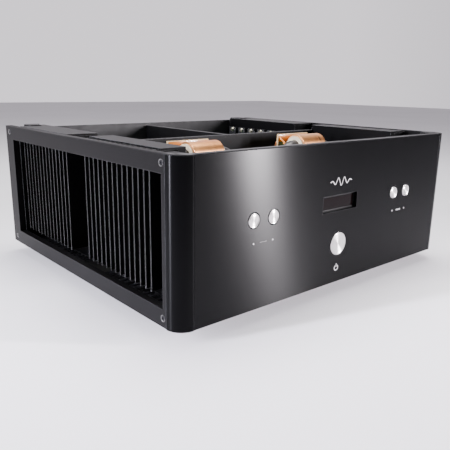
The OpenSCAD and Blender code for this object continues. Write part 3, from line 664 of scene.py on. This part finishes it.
def lead_board_parts(side):
    """Copper-backed film on the front of the lead board, and its solder tags and fuses on the back."""
    low, high = span("lead_board_" + side)
    film = Piece("lead_film_" + side, "cream_board")
    front, top = low.y - 0.35, high.z - 0.8
    film.box((low.x + 1.0, front, top - 9), (high.x - 1.0, low.y, top), "amber_film", 0.1)
    film.box((low.x + 1.0, front, high.z - 44), (high.x - 1.0, low.y, top - 9.3), "board_green", 0.1)
    film.done()
    parts = Piece("lead_tags_" + side, "cream_board")
    back = high.y
    for i in range(8):
        x, z = low.x + (6 + 6.9 * i), high.z - 9
        parts.box((x - 0.9, back, z - 5), (x + 0.9, back + 0.5, z + 5), "tin", 0.15)
        parts.lathe([(0, 1.5), (0.5, 1.4), (0.9, 0.8), (1.0, 0)], (x, back + 0.5, z + 3.4), Y, "tin", 12)
    for i in range(3):
        centre = Vector((low.x + 13 + 17 * i, back + 4.2, high.z - 27))
        parts.rod(centre - X * 6, centre + X * 6, 2.3, "white", 16, 0.3)
        for end in (-1, 1):
            cap, clip = centre + X * end * 5, centre + X * end * 7
            parts.rod(cap, cap + X * end * 3, 2.6, "tin", 16, 0.3)
            parts.box((clip.x - 1.2, back, clip.z - 3.4), (clip.x + 1.2, clip.y, clip.z - 2.3), "tin", 0.2)
    parts.done()


def transformer_leads(side):
    """Sleeved leads from the holes at the back of the top end discs to the top of the lead board."""
    board_low, board_high = span("lead_board_" + side)
    disc_low, disc_high = span("bobbins_" + side)
    radius = (disc_high.y - disc_low.y) / 2
    hole_y, hole_z = (disc_low.y + disc_high.y) / 2 + 12.4, disc_high.z - radius
    leads = Piece("transformer_leads_" + side, "copper_foil")
    for end, x, edge in ((-1, disc_low.x, board_low.x), (1, disc_high.x, board_high.x)):
        for i, color in enumerate(("orange", "brown", "orange")):
            hole = Vector((x, hole_y, hole_z + i - 1))
            tag = Vector((edge - end * (2.5 + 2.6 * i), board_low.y - 1.0, board_high.z - (4 + 2 * i)))
            bend = Vector((x + end * (3.2 + 0.9 * i), hole.y + 1.5, (hole.z + tag.z) / 2))
            leads.tube([hole - X * end * 2, hole + X * end * 1.6, bend,
                        tag + Vector((end * 0.8, -2.5, -2)), tag], 0.8, color)
    leads.done()


def core_straps(side):
    """A steel band and its buckle round each bend of the core, under the saddle."""
    low, high = span("core_" + side)
    thick = (high.y - low.y) / 2
    centre = (low + high) / 2
    bend = (high.z - low.z) / 2 - thick
    straight = (high.x - low.x) / 2 - thick - bend
    straps = Piece("core_straps_" + side, "core_steel")
    for end in (-1, 1):
        for turn in (52, 128):
            a = math.radians(turn)
            way = Vector((end * math.sin(a), 0, math.cos(a)))
            along = Vector((end * math.cos(a), 0, -math.sin(a)))
            place = centre + X * end * straight + way * bend - along * 2
            inner, outer = thick - 0.2, thick + 0.45
            straps.ring([(0, inner), (0, outer), (4, outer), (4, inner)], place, along, "zinc_steel", 48)
            straps.rod(place - Y * (thick + 1.2) + along * 2, place - Y * thick + along * 2,
                       2.4, "zinc_steel", 6, 0.3)
    straps.done()


# ---- Boards ----


class Parts(Piece):
    """Electronic parts that stand on a board whose top is at height z, on one side of the middle line."""

    def __init__(self, name, z, sign=1, inner=0, front=0):
        super().__init__(name, "board_green")
        self.z, self.sign, self.inner, self.front = z, sign, inner, front

    def at(self, x, y):
        """A place on the board, measured from its inner front corner."""
        return self.sign * (self.inner + x), self.front + y

    def block(self, x, y, low, size, material, bevel=0.3):
        """A block of (width, depth, height) that starts low above the board."""
        w, d, h = size
        base = self.z + low
        self.box((x - w / 2, y - d / 2, base), (x + w / 2, y + d / 2, base + h), material, bevel)

    def resistor(self, x, y, along=X, body="beige"):
        """A film resistor with colour bands and bent leads."""
        half, r = 3.25, 1.15
        centre = Vector((x, y, self.z + r + 0.5))
        end_cap = [(1.0, 0), (1.0, 0.7), (0.86, 1.0), (0.6, 1.0), (0.5, 0.86)]
        shape = [(-a * half, b * r) for a, b in end_cap] + [(a * half, b * r) for a, b in end_cap[::-1]]
        self.lathe(shape, centre, along, body, 12)
        for i, band in enumerate(("red", "brown", "orange")):
            start = centre + along * half * (0.24 * i - 0.32)
            self.rod(start, start + along * half * 0.10, r * 0.92, band, 12)
        for end in (-1, 1):
            tip = centre + along * end * (half + 1.4)
            self.tube([centre + along * end * half * 0.9, tip, (tip.x, tip.y, self.z)], 0.3, "tin", 6, 3)

    def can(self, x, y, r, h, color="black"):
        """An electrolytic capacitor: a sleeve rolled in near the foot, and a scored aluminium top."""
        base, top = Vector((x, y, self.z)), h - 0.25
        self.lathe([(0, r * 0.94), (0.4, r), (1.6, r), (2.0, r * 0.95), (2.5, r), (h - 0.7, r),
                    (h - 0.1, r * 0.95), (h, r * 0.88), (h - 0.3, r * 0.86)], base, Z, color)
        self.lathe([(top - 0.3, 0), (top - 0.3, r * 0.87), (top, r * 0.84), (top, 0)], base, Z, "aluminium")
        for way in (X, Y):
            start = base + Z * top - way * r * 0.6
            self.tube([start, start + way * r * 1.2], 0.12, "grey", 6, 2)

    def film_capacitor(self, x, y, size, color="red"):
        self.block(x, y, 0.4, size, color, 0.5)
        for end in (-1, 1):
            foot = Vector((x + end * size[0] * 0.36, y, self.z))
            self.rod(foot, foot + Z * 0.5, 0.35, "tin", 8)

    def cement_resistor(self, x, y):
        self.block(x, y, 1.0, (5, 14, 5.4), "white", 0.4)
        for end in (-1, 1):
            tip = Vector((x, y + end * 8.3, self.z + 3))
            self.tube([tip - Y * end * 1.6, tip, (tip.x, tip.y, self.z)], 0.4, "tin", 6, 3)

    def small_transistor(self, x, y):
        self.prism(arc(2.3, -40, 260 / 12, 13), (x, y, self.z + 3.2), X, Y, 4.6, "device_black")
        for dx in (-1.3, 0, 1.3):
            foot = Vector((x + dx, y, self.z))
            self.rod(foot, foot + Z * 3.3, 0.22, "tin", 6)

    def driver(self, x, y):
        """A driver transistor with its metal tab and three legs."""
        self.block(x, y, 4.0, (10, 4.4, 8.6), "device_black", 0.4)
        self.block(x, y + 2.8, 4.0, (10, 1.3, 11.5), "tin", 0.2)
        for dx in (-2.54, 0, 2.54):
            self.block(x + dx, y, 0, (0.8, 0.6, 4.2), "tin", 0)

    def chip(self, x, y):
        self.block(x, y, 0.3, (10, 6.4, 2.1), "device_black", 0.25)
        for dx in (-3.75, -1.25, 1.25, 3.75):
            for dy in (-3.7, 3.7):
                self.block(x + dx, y + dy, 0, (0.4, 1.2, 0.9), "tin", 0)

    def connector(self, x, y, ways, color="white"):
        """A header and the plug in it."""
        w = ways * 2.5 + 1.5
        self.block(x, y, 0, (w, 5.6, 6.0), color, 0.3)
        self.block(x, y, 5.9, (w - 1.6, 4.0, 1.7), color, 0.3)

    def terminal_block(self, x, y, ways):
        for i in range(ways):
            at = x + (i - (ways - 1) / 2) * 5
            self.block(at, y, 0, (4.9, 8, 10), "green", 0.4)
            self.rod((at, y, self.z + 9.6), (at, y, self.z + 10.3), 1.8, "tin", 14, 0.2)

    def choke(self, x, y):
        """An output choke: a close coil of enamelled wire."""
        r, turns, steps, pitch = 5, 9, 14, 1.35
        coil = arc(r, 0, 360 / steps, turns * steps + 1)
        points = [Vector((x + (i / steps - turns / 2) * pitch, y + a, self.z + r + 1.2 + b))
                  for i, (a, b) in enumerate(coil)]
        feet = [Vector((p.x, p.y, self.z)) for p in (points[0], points[-1])]
        self.tube([feet[0], *points, feet[1]], 0.62, "copper_wire", 6, 1)


def amplifier_parts(side):
    """Everything on a power amplifier board that isn't in its CAD solid."""
    low, high = span("amplifier_board_" + side)
    inner = min(abs(low.x), abs(high.x))
    parts = Parts("amplifier_parts_" + side, low.z + BOARD_T, SIDES[side], inner, low.y)
    at = parts.at
    first, last = span("output_transistors_" + side)
    devices, width = 6, 15.6
    pitch = (last.y - first.y - width) / (devices - 1)
    for i in range(devices):
        y = first.y + width / 2 + i * pitch - low.y
        parts.cement_resistor(*at(84, y))
        parts.resistor(*at(73, y - 4))
        parts.resistor(*at(73, y + 3), body="blue")
        if i < 4:
            parts.resistor(*at(63, y + 1), Y)
    for i, y in enumerate((52, 75, 98, 121)):
        parts.driver(*at(50, y))
        parts.film_capacitor(*at(39, y + 4), (7, 4, 7.6), "yellow" if i % 2 else "red")
    for row in range(4):
        for column in range(3):
            parts.resistor(*at(31 + 10 * column, 9 + 7 * row), body="beige" if (row + column) % 3 else "blue")
    for x, y in ((31, 88), (31, 96), (22, 90), (22, 98), (22, 66), (30, 64)):
        parts.small_transistor(*at(x, y))
    for x, y in ((62, 14), (76, 14), (90, 14)):
        parts.can(*at(x, y), 6, 13)
    for x, y in ((30, 120), (24, 108)):
        parts.can(*at(x, y), 4, 10, "lilac")
    parts.chip(*at(29, 76))
    parts.block(*at(62, 150), 0.3, (18, 13, 15), "blue", 0.8)
    parts.choke(*at(60, 133))
    parts.terminal_block(*at(60, 164), 3)
    parts.connector(*at(33, 47), 3)
    parts.connector(*at(12, 131), 4)
    for y in (75, 115):
        parts.can(*at(12, y), 6.75, 16.6, "can_sleeve")
    for y in (26, 50):
        parts.block(*at(15, y), 0, (18.4, 20.4, 15.5), "red", 1.0)
    parts.done()


def supply_parts(side):
    """Rectifiers, fuses and small parts on a supply board."""
    low = span("supply_boards")[0]
    can_edge = min(abs(v.co.x) for v in frame["nodes"]["supply_boards"].data.vertices) / MM
    parts = Parts("supply_parts_" + side, low.z + BOARD_T, SIDES[side], can_edge, low.y)
    at = parts.at
    for y in (25, 64):
        x0, y0 = at(77, y)
        parts.block(x0, y0, 4, (28, 28, 7), "device_black", 1.2)
        parts.rod((x0, y0, parts.z + 10.9), (x0, y0, parts.z + 11.7), 4.2, "tin", 20, 0.4)
        for dx, dy in corners(9, 9):
            parts.block(x0 + dx, y0 + dy, 0, (0.9, 5, 4.2), "tin", 0)
    for i in range(4):
        x0, y0 = at(100 + 11 * i, 25)
        centre = Vector((x0, y0, parts.z + 5))
        parts.rod(centre - Y * 8, centre + Y * 8, 2.5, "white", 16, 0.3)
        for end in (-1, 1):
            cap = centre + Y * end * 6
            parts.rod(cap, cap + Y * end * 4, 2.7, "tin", 16, 0.3)
            parts.block(x0, y0 + end * 8, 0, (6, 3.2, 3), "tin", 0.3)
    for i in range(8):
        parts.resistor(*at(57 + (i % 4) * 11, 92 + (i // 4) * 7))
    for x, y in ((64, 112), (78, 112), (92, 112), (106, 112), (120, 60), (120, 76), (104, 60), (104, 76)):
        parts.can(*at(x, y), 5.5, 20)
    for x in (72, 89, 106, 123):
        parts.film_capacitor(*at(x, 132), (13, 6, 11), "yellow")
    parts.done()


def can_dressing():
    """Scored aluminium tops, a printed stripe and a rolled sleeve edge on the eight big capacitors."""
    low, high = span("filter_capacitors")
    r, count = 17, 4
    tops = Piece("can_tops", "can_sleeve")
    pitch = (high.y - low.y - 2 * r) / (count - 1)
    for sign in SIDES.values():
        for i in range(count):
            x, y = sign * (high.x - r), low.y + r + i * pitch
            top = Vector((x, y, high.z))
            tops.lathe([(0, 0.9 * r), (0.02, 0.9 * r), (0.40, 0.86 * r), (0.30, 0.82 * r),
                        (0.08, 0.80 * r), (0.08, 0)], top, Z, "aluminium", 48)
            for turn in range(3):
                way = Vector((math.cos(math.tau * turn / 3), math.sin(math.tau * turn / 3), 0))
                start = top + Z * 0.08
                tops.tube([start + way * r * 0.06, start + way * r * 0.62], 0.25, "grey", 6, 2)
            stripe = arc(r + 0.08, 205, 3, 9) + arc(r - 0.2, 229, -3, 9)
            tops.prism([(sign * a, b) for a, b in stripe], (x, y, low.z + 4), X, Y, 58, "white")
            edge = [(0, r - 0.3), (0, r + 0.15), (1.2, r + 0.2), (1.8, r - 0.3)]
            tops.ring(edge, top - Z * 4.6, Z, "can_sleeve", 48)
    tops.done(30)


def input_parts():
    """Chips, film capacitors, resistors and plugs on the signal board, and covers for its relays."""
    low = span("input_board")[0]
    parts = Parts("input_parts", low.z + BOARD_T)
    for i in range(8):
        parts.resistor(-91 + 26 * i, low.y + 24, body="blue" if i % 2 else "beige")
    for x in (-13, 0, 13):
        parts.chip(x, low.y + 12)
    for x in (-60, -36, 36, 60):
        parts.block(x, low.y + 8.5, 0, (16.4, 11.4, 9.8), "white", 0.6)
    for sign in SIDES.values():
        parts.connector(sign * 76, low.y + 4.4, 4)
        parts.can(sign * 23, low.y + 10, 4, 10)
        for x in (87, 97):
            parts.film_capacitor(sign * x, low.y + 6, (8, 6, 8))
    parts.done()


def control_parts():
    """The back of the control board: processor, crystal, headers, small parts and solder joints."""
    high = span("control_board")[1]
    back, z = high.y, high.z - 28
    piece = Piece("control_parts", "board_green")

    def tile(x, up, w, d, h, material, bevel=0.1):
        """A part w wide and h high that stands d out of the back of the board."""
        piece.box((x - w / 2, back, z + up - h / 2), (x + w / 2, back + d, z + up + h / 2), material, bevel)

    tile(0, 0, 18, 1.6, 18, "device_black", 0.3)
    for i in range(12):
        off = (i - 5.5) * 1.4
        for end in (-1, 1):
            tile(off, end * 9.8, 0.5, 0.4, 1.8, "tin", 0)
            tile(end * 9.8, off, 1.8, 0.4, 0.5, "tin", 0)
    tile(23, 0, 10, 3.4, 4, "tin", 0.9)
    for x in (-60, 60):
        tile(x, 0, 24, 7, 6, "grey", 0.4)
    chance = random.Random(7)
    for i in range(46):
        x, up = chance.uniform(-128, 128), chance.choice((-44, -38, 16, 21))
        tile(x, up, 1.6, 0.6, 1.0, "beige" if i % 2 else "device_black")
        for end in (-1, 1):
            tile(x + end * 1.0, up, 0.5, 0.62, 1.0, "tin", 0)
    joint = [(0, 1.4), (0.5, 1.0), (1.1, 0)]
    for node in BUTTONS:
        switch = middle(node)
        for dx, dz in corners(2.5, 2.5):
            piece.lathe(joint, (switch.x + dx, back, switch.z + dz), Y, "tin", 12)
    piece.done()


# ---- Wiring ----


def partition_foot():
    """Where the cross partition meets the floor, on the middle line."""
    return Vector((0, span("cross_partition")[0].y, span("centre_partition")[0].z))


def route(origin, *steps):
    """The places that lie each step away from origin."""
    return [origin + Vector(step) for step in steps]


def loom(piece, points, colors, radius, spread):
    """Wires of several colours side by side along one route, spread along a vector from wire to wire."""
    for i, color in enumerate(colors):
        shift = Vector(spread) * (i - (len(colors) - 1) / 2)
        piece.tube([Vector(p) + shift for p in points], radius, color, 8, 5)


def tie(piece, centre, along, radius):
    """A cable tie with its square head."""
    centre = Vector(centre)
    band = [(-1.2, radius), (-1.2, radius + 0.7), (1.2, radius + 0.7), (1.2, radius)]
    piece.ring(band, centre, along, "black", 24)
    head = centre + across(along)[1] * (radius + 1.5)
    half = Vector((1.6, 1.6, 1.4))
    piece.box(head - half, head + half, "black", 0.3)


def mains_wiring():
    """From the inlet to the switch, along the centre to the front, and through the left wire hole."""
    foot = partition_foot()
    floor, lane = foot.z, -4.6
    inlet = span("mains_inlet")[0] + Vector((12, 0, 14))
    switch = span("mains_switch_body")[0] + Vector((10, 0, 14))
    wires = Piece("mains_wiring", "black_plastic")
    loom(wires, route(inlet, (0, 1, 0), (-3, -6, 2), (-18, -8, 6)) + route(switch, (2, -12, 3), (0, 1, 0)),
         ("brown", "blue"), 1.3, (0, 0, 3))
    down = [(lane - 7, switch.y - 24, floor + 14), (lane, switch.y - 46, floor + 4.5)]
    loom(wires, route(switch, (0, 1, 0), (2, -11, -5)) + down
         + route(foot, (lane, 60, 3.5), (lane, 22, 3.5), (-16, 9, 6), (-54, 9, 15), (-70, 3, 27),
                 (-73, -7, 25), (-66, -10, 8), (-40, -11, 4), (40, -11, 4)),
         ("brown", "blue"), 1.3, (2.8, 0.6, 0))
    for place in route(foot, (-30, -11, 4), (0, -11, 4), (30, -11, 4)):
        tie(wires, place, X, 2.4)
    for side, sign in SIDES.items():
        board = span("lead_board_" + side)[1]
        tag = Vector((sign * 64, board.y + 1, board.z - 12))
        loom(wires, route(foot, (sign * 38, -11, 4), (sign * 52, -15, 12), (sign * 60, -21, 60))
             + route(tag, (0, 6, -22), (0, 3, 0), (0, 0, 0)), ("brown", "blue"), 1.15, (2.7, 0, 0))
    earth = inlet + Vector((14, 0, 4))
    stud = (earth.x, earth.y - 16, floor)
    wires.tube([earth + Y, earth - Y * 8, (earth.x, earth.y - 18, floor + 10), stud], 1.3, "green", 8, 5)
    wires.lathe([(0, 3.4), (0.8, 3.4), (0.8, 2.6), (3.2, 2.4), (3.2, 0)], stud, Z, "tin", 6)
    wires.done()


def transformer_wiring():
    """Secondary leads from each lead board, through the wire hole, to the supply board behind."""
    foot = partition_foot()
    landing = span("supply_boards")[1].z
    wires = Piece("transformer_wiring", "black_plastic")
    for side, sign in SIDES.items():
        board = span("lead_board_" + side)[1]
        tag = Vector((sign * 96, board.y + 1, board.z - 12))
        hole = foot + Vector((sign * 70, 1, 34))
        above = route(tag, (0, 0, 0), (0, 6, -5), (-sign * 4, 9, -40))
        through = route(hole, (sign * 4, -12, 14), (0, 0, 0), (sign * 3, 8, -8))
        loom(wires, [*above, *through, (sign * 80, foot.y + 21, landing)],
             ("yellow", "red", "blue", "white"), 1.15, (2.5, 0, 0))
        tie(wires, above[-1], Z, 5.2)
    wires.done()


def signal_wiring():
    """Signal leads, supply rails, speaker leads and the cable to the control board."""
    foot = partition_foot()
    landing = span("supply_boards")[1].z
    input_low = span("input_board")[0]
    control_high = span("control_board")[1]
    stud_low, stud_high = span("speaker_terminals")
    plug_top = BOARD_T + 7.4
    wires = Piece("signal_wiring", "black_plastic")
    for side, sign in SIDES.items():
        low = span("amplifier_board_" + side)[0]
        start = Vector((sign * 76, input_low.y + 4.4, input_low.z + plug_top))
        end = Vector((sign * 72, low.y + 131, low.z + plug_top))
        points = [start, start + Vector((0, -2, 7)), (start + end) / 2 + Z * 13, end + Vector((0, 2, 6)), end]
        loom(wires, points, ("red" if sign > 0 else "white", "black", "grey"), 0.9, (2.2, 0, 0))
        for block, stud, color in ((115, 124, "black"), (125, 148, "red")):
            start = Vector((sign * block, low.y + 168, low.z + BOARD_T + 4))
            post = Vector((sign * stud, stud_low.y, (stud_low.z + stud_high.z) / 2))
            wires.tube(route(start, (0, -1, 0), (0, 3.5, 0), (0, 6, -10), (0, 5, -30))
                       + route(post, (0, -3, 16), (0, -4, 3), (0, 1, 0)), 1.5, color, 8, 5)
        rail = Vector((sign * 54.5, low.y + 36, landing))
        plug = Vector((sign * 93, low.y + 47, low.z + plug_top))
        loom(wires, [rail, rail + Z * 60, (rail.x, rail.y, low.z + 10),
                     (rail.x + sign * 9, rail.y + 2, low.z + 22), plug + Vector((-sign * 5, -2, 12)), plug],
             ("red", "black", "blue"), 1.1, (0, 2.5, 0))
    header = Vector((60, control_high.y + 6.5, control_high.z - 28))
    lane = 4.6
    for i in range(8):
        wires.tube([header + X * (i - 3.5) * 2.5, header + Vector(((i - 3.5) * 2, 5, -1)),
                    header + Vector(((i - 3.5) * 0.5, 13, -22))], 0.55, ("grey", "red")[i == 0], 6, 4)
    wires.tube([*route(header, (0, 12, -20), (-3, 15, -40)),
                (30, header.y + 36, foot.z + 5), (18, header.y + 60, foot.z + 3.2),
                *route(foot, (18, -24, 3.2), (50, -7, 10), (66, -4, 28), (64, 7, 24), (40, 9, 8), (12, 10, 4),
                       (lane, 26, 3.2)), (lane, input_low.y - 20, foot.z + 3.2),
                (lane + 3, input_low.y + 8, foot.z + 30), (lane + 6, input_low.y + 12, input_low.z)],
               2.2, "grey", 12, 5)
    wires.done()


# ---- Rear ----


def socket_rings():
    """Coloured rings round the phono sockets, their white centres, and rings on the balanced contacts."""
    face = span("rear_panel")[1].y
    low, high = span("phono_sockets")
    z, outer = (low.z + high.z) / 2, high.x - 7
    rings = Piece("socket_rings", "gold_plate")
    collar = [(0, 4.2), (0, 5.9), (0.9, 5.7), (1.2, 5.2), (1.2, 4.2)]
    centre = [(0, 1.7), (0, 3.3), (0.25, 3.3), (0.25, 1.7)]
    for sign in SIDES.values():
        for x in (outer - 24, outer):
            rings.ring(collar, (sign * x, face + 2.0, z), Y, "red" if sign > 0 else "white", 40)
            rings.ring(centre, (sign * x, high.y - 0.05, z), Y, "white", 32)
    low, high = span("xlr_inserts")
    z, middle_x = (low.z + high.z) / 2, high.x - 7.9
    sleeve_end = [(0, 1.32), (0, 1.75), (0.2, 1.7), (0.2, 1.32)]
    screw = [(0, 2.1), (0.4, 2.0), (0.9, 1.2), (0.9, 0)]
    for sign in SIDES.values():
        for turn in (-135, 0, 135):
            a = math.radians(turn)
            spot = Vector((sign * (middle_x + 4.8 * math.sin(a)), high.y - 0.1, z - 4.8 * math.cos(a)))
            rings.ring(sleeve_end, spot, Y, "gold_plate", 28)
        for dx, dz in ((-9.6, 12.5), (9.6, -12.5)):
            rings.lathe(screw, (sign * middle_x + dx, face + 2, z + dz), Y, "dark_steel", 24)
    rings.done()


def knob_bands():
    """A coloured band near the end of each terminal knob, and a plated sleeve in the mouth of its bore."""
    for node in ("knob_left_positive", "knob_left_negative", "knob_right_negative", "knob_right_positive"):
        low, high = span(node)
        r, end = (high.x - low.x) / 2, (middle(node).x, high.y, middle(node).z)
        band = Piece(node + "_band", "knob_plastic", node)
        ring = [(-6.0, r - 1.4), (-6.0, r - 0.1), (-5.8, r + 0.12),
                (-3.2, r + 0.12), (-3.0, r - 0.1), (-3.0, r - 1.4)]
        band.ring(ring, end, Y, "red" if "positive" in node else "black", 56)
        sleeve = [(-3.6, 2.4), (-0.2, 2.4), (-0.05, 2.6), (-0.05, 3.03), (-3.6, 3.03)]
        band.ring(sleeve, end, Y, "gold_plate", 48)
        band.done()


def mains_details():
    """Inlet blades and screws, ribs on the fuse drawer, and the bar and ring of the rocker."""
    low, high = span("mains_inlet")
    x, middle_z, mouth = (low.x + high.x) / 2, (low.z + high.z) / 2, high.y
    blades = Piece("inlet_blades", "black_plastic")
    for dx, dz in ((-7, 6), (0, 10), (7, 6)):
        blades.box((x + dx - 1.05, mouth - 16.9, middle_z + dz - 2.05),
                   (x + dx + 1.05, mouth - 2.6, middle_z + dz + 2.05), "tin", 0.35)
    screw = [(0, 1.5), (0.35, 1.4), (0.6, 0.9), (0.6, 0)]
    for dx, dz in corners(14, 19.5):
        blades.lathe(screw, (x + dx, mouth, middle_z + dz), Y, "dark_steel", 20)
    blades.done()
    low, high = span("fuse_drawer")
    ribs = Piece("drawer_ribs", "black_plastic", "fuse_drawer")
    for i in range(5):
        rib = (low.x + high.x) / 2 + (i - 2) * 4
        ribs.box((rib - 0.5, high.y - 0.2, low.z + 2.2), (rib + 0.5, high.y + 0.4, high.z - 2.2),
                 "black_plastic", 0.2)
    ribs.done()
    signs = Piece("rocker_signs", "black_plastic", "mains_rocker")
    tilt = Matrix.Rotation(math.radians(12), 3, "X")
    pivot = Vector((middle("mains_rocker").x, span("rear_panel")[1].y - 4, middle_z))
    slope = math.atan2(3.5, 16.5)
    for end, shape in ((1, [(0, -2.4), (0, 2.4)]), (-1, arc(2.2, 0, 360 / 32, 33))):
        up = tilt @ Vector((0, math.sin(slope), end * math.cos(slope)))
        out = tilt @ Vector((0, math.cos(slope), -end * math.sin(slope)))
        spot = pivot + tilt @ (Y * 4.5) + up * 8.0
        signs.ribbon(shape, 0.8, spot, up.cross(out), up, INK, "mark_white")
    signs.done()


def rear_signs():
    """Plain printed frames and signs round the sockets and terminals."""
    face = span("rear_panel")[1].y
    piece = Piece("rear_signs", "black_sheet")

    def draw(points, width, x, z):
        piece.sign(points, width, (x, face, z), -X)

    def box_line(x, z, half, down, up):
        draw([(0, -down), (-half, -down), (-half, up), (half, up), (half, -down), (0, -down)], 0.4, x, z)

    posts, phono, balanced = (middle(n).z for n in ("speaker_terminals", "phono_sockets", "xlr_inserts"))
    speaker = [(-2.4, -1.2), (-2.4, 1.2), (-0.8, 1.2), (1.2, 3.0), (1.2, -3.0), (-0.8, -1.2)]
    for sign in SIDES.values():
        minus, plus = sign * 124, sign * 148
        draw([(-1.8, 0), (1.8, 0)], 0.6, minus, posts + 16)
        draw([(-1.8, 0), (1.8, 0)], 0.6, plus, posts + 16)
        draw([(0, -1.8), (0, 1.8)], 0.6, plus, posts + 16)
        draw(speaker, 0.45, (minus + plus) / 2, posts + 16)
        box_line((minus + plus) / 2, posts, 26, 19, 21)
        box_line(sign * 25, phono, 20, 15, 20)
        box_line(sign * 84, balanced, 18, 20, 22)
        for i in range(2):
            spot = sign * (13 + 24 * i)
            for k in range(i + 1):
                draw([(0, -1.3), (0, 1.3)], 0.6, spot + k * 1.6, phono + 13)
    piece.done()


# ---- Outside ----


def foot_rings():
    """A bright turned ring in the groove of each foot."""
    low, high = span("feet")
    r = 22
    piece = Piece("foot_rings", "foot_anodised")
    ring = [(0, r - 1.4), (0, r - 0.5), (0.3, r - 0.2), (0.9, r - 0.2), (1.2, r - 0.5), (1.2, r - 1.4)]
    for x in (low.x + r, high.x - r):
        for y in (low.y + r, high.y - r):
            piece.ring(ring, (x, y, high.z - 3.9), Z, "aluminium", 72)
    piece.done()


def screw_lips():
    """The bright lip of each countersink in the side frames, where the anodising is cut through."""
    low, high = span("side_screws")
    r = 2.9
    face = span("side_frame_right")[1].x - 0.04
    lip = [(-0.4, r - 0.2), (0.04, r + 0.02), (0.04, r + 0.2), (-0.1, r + 0.2)]
    piece = Piece("screw_lips", "dark_steel")
    for sign in SIDES.values():
        for y in (low.y + r, high.y - r):
            for z in (low.z + r, high.z - r):
                piece.ring(lip, (sign * face, y, z), X * sign, "tin", 40)
    piece.done()


def paint_cad():
    """Gives every CAD node the material of its slot."""
    for part in frame["record"]["subparts"]:
        materials = frame["nodes"][part["node"]].data.materials
        materials.clear()
        materials.append(LOOKS[part["material_slot"]])


def make_floor():
    bpy.ops.mesh.primitive_plane_add(size=12)
    floor = bpy.context.object
    floor.name = "floor"
    floor.data.materials.append(LOOKS["floor"])


make_camera()
make_lights()
make_world()
make_materials()
make_floor()
paint_cad()
front_markings()
button_caps()
display_mask()
for side in SIDES:
    winding_tape(side)
    lead_board_parts(side)
    transformer_leads(side)
    core_straps(side)
    amplifier_parts(side)
    supply_parts(side)
can_dressing()
input_parts()
control_parts()
mains_wiring()
transformer_wiring()
signal_wiring()
socket_rings()
knob_bands()
mains_details()
rear_signs()
foot_rings()
screw_lips()
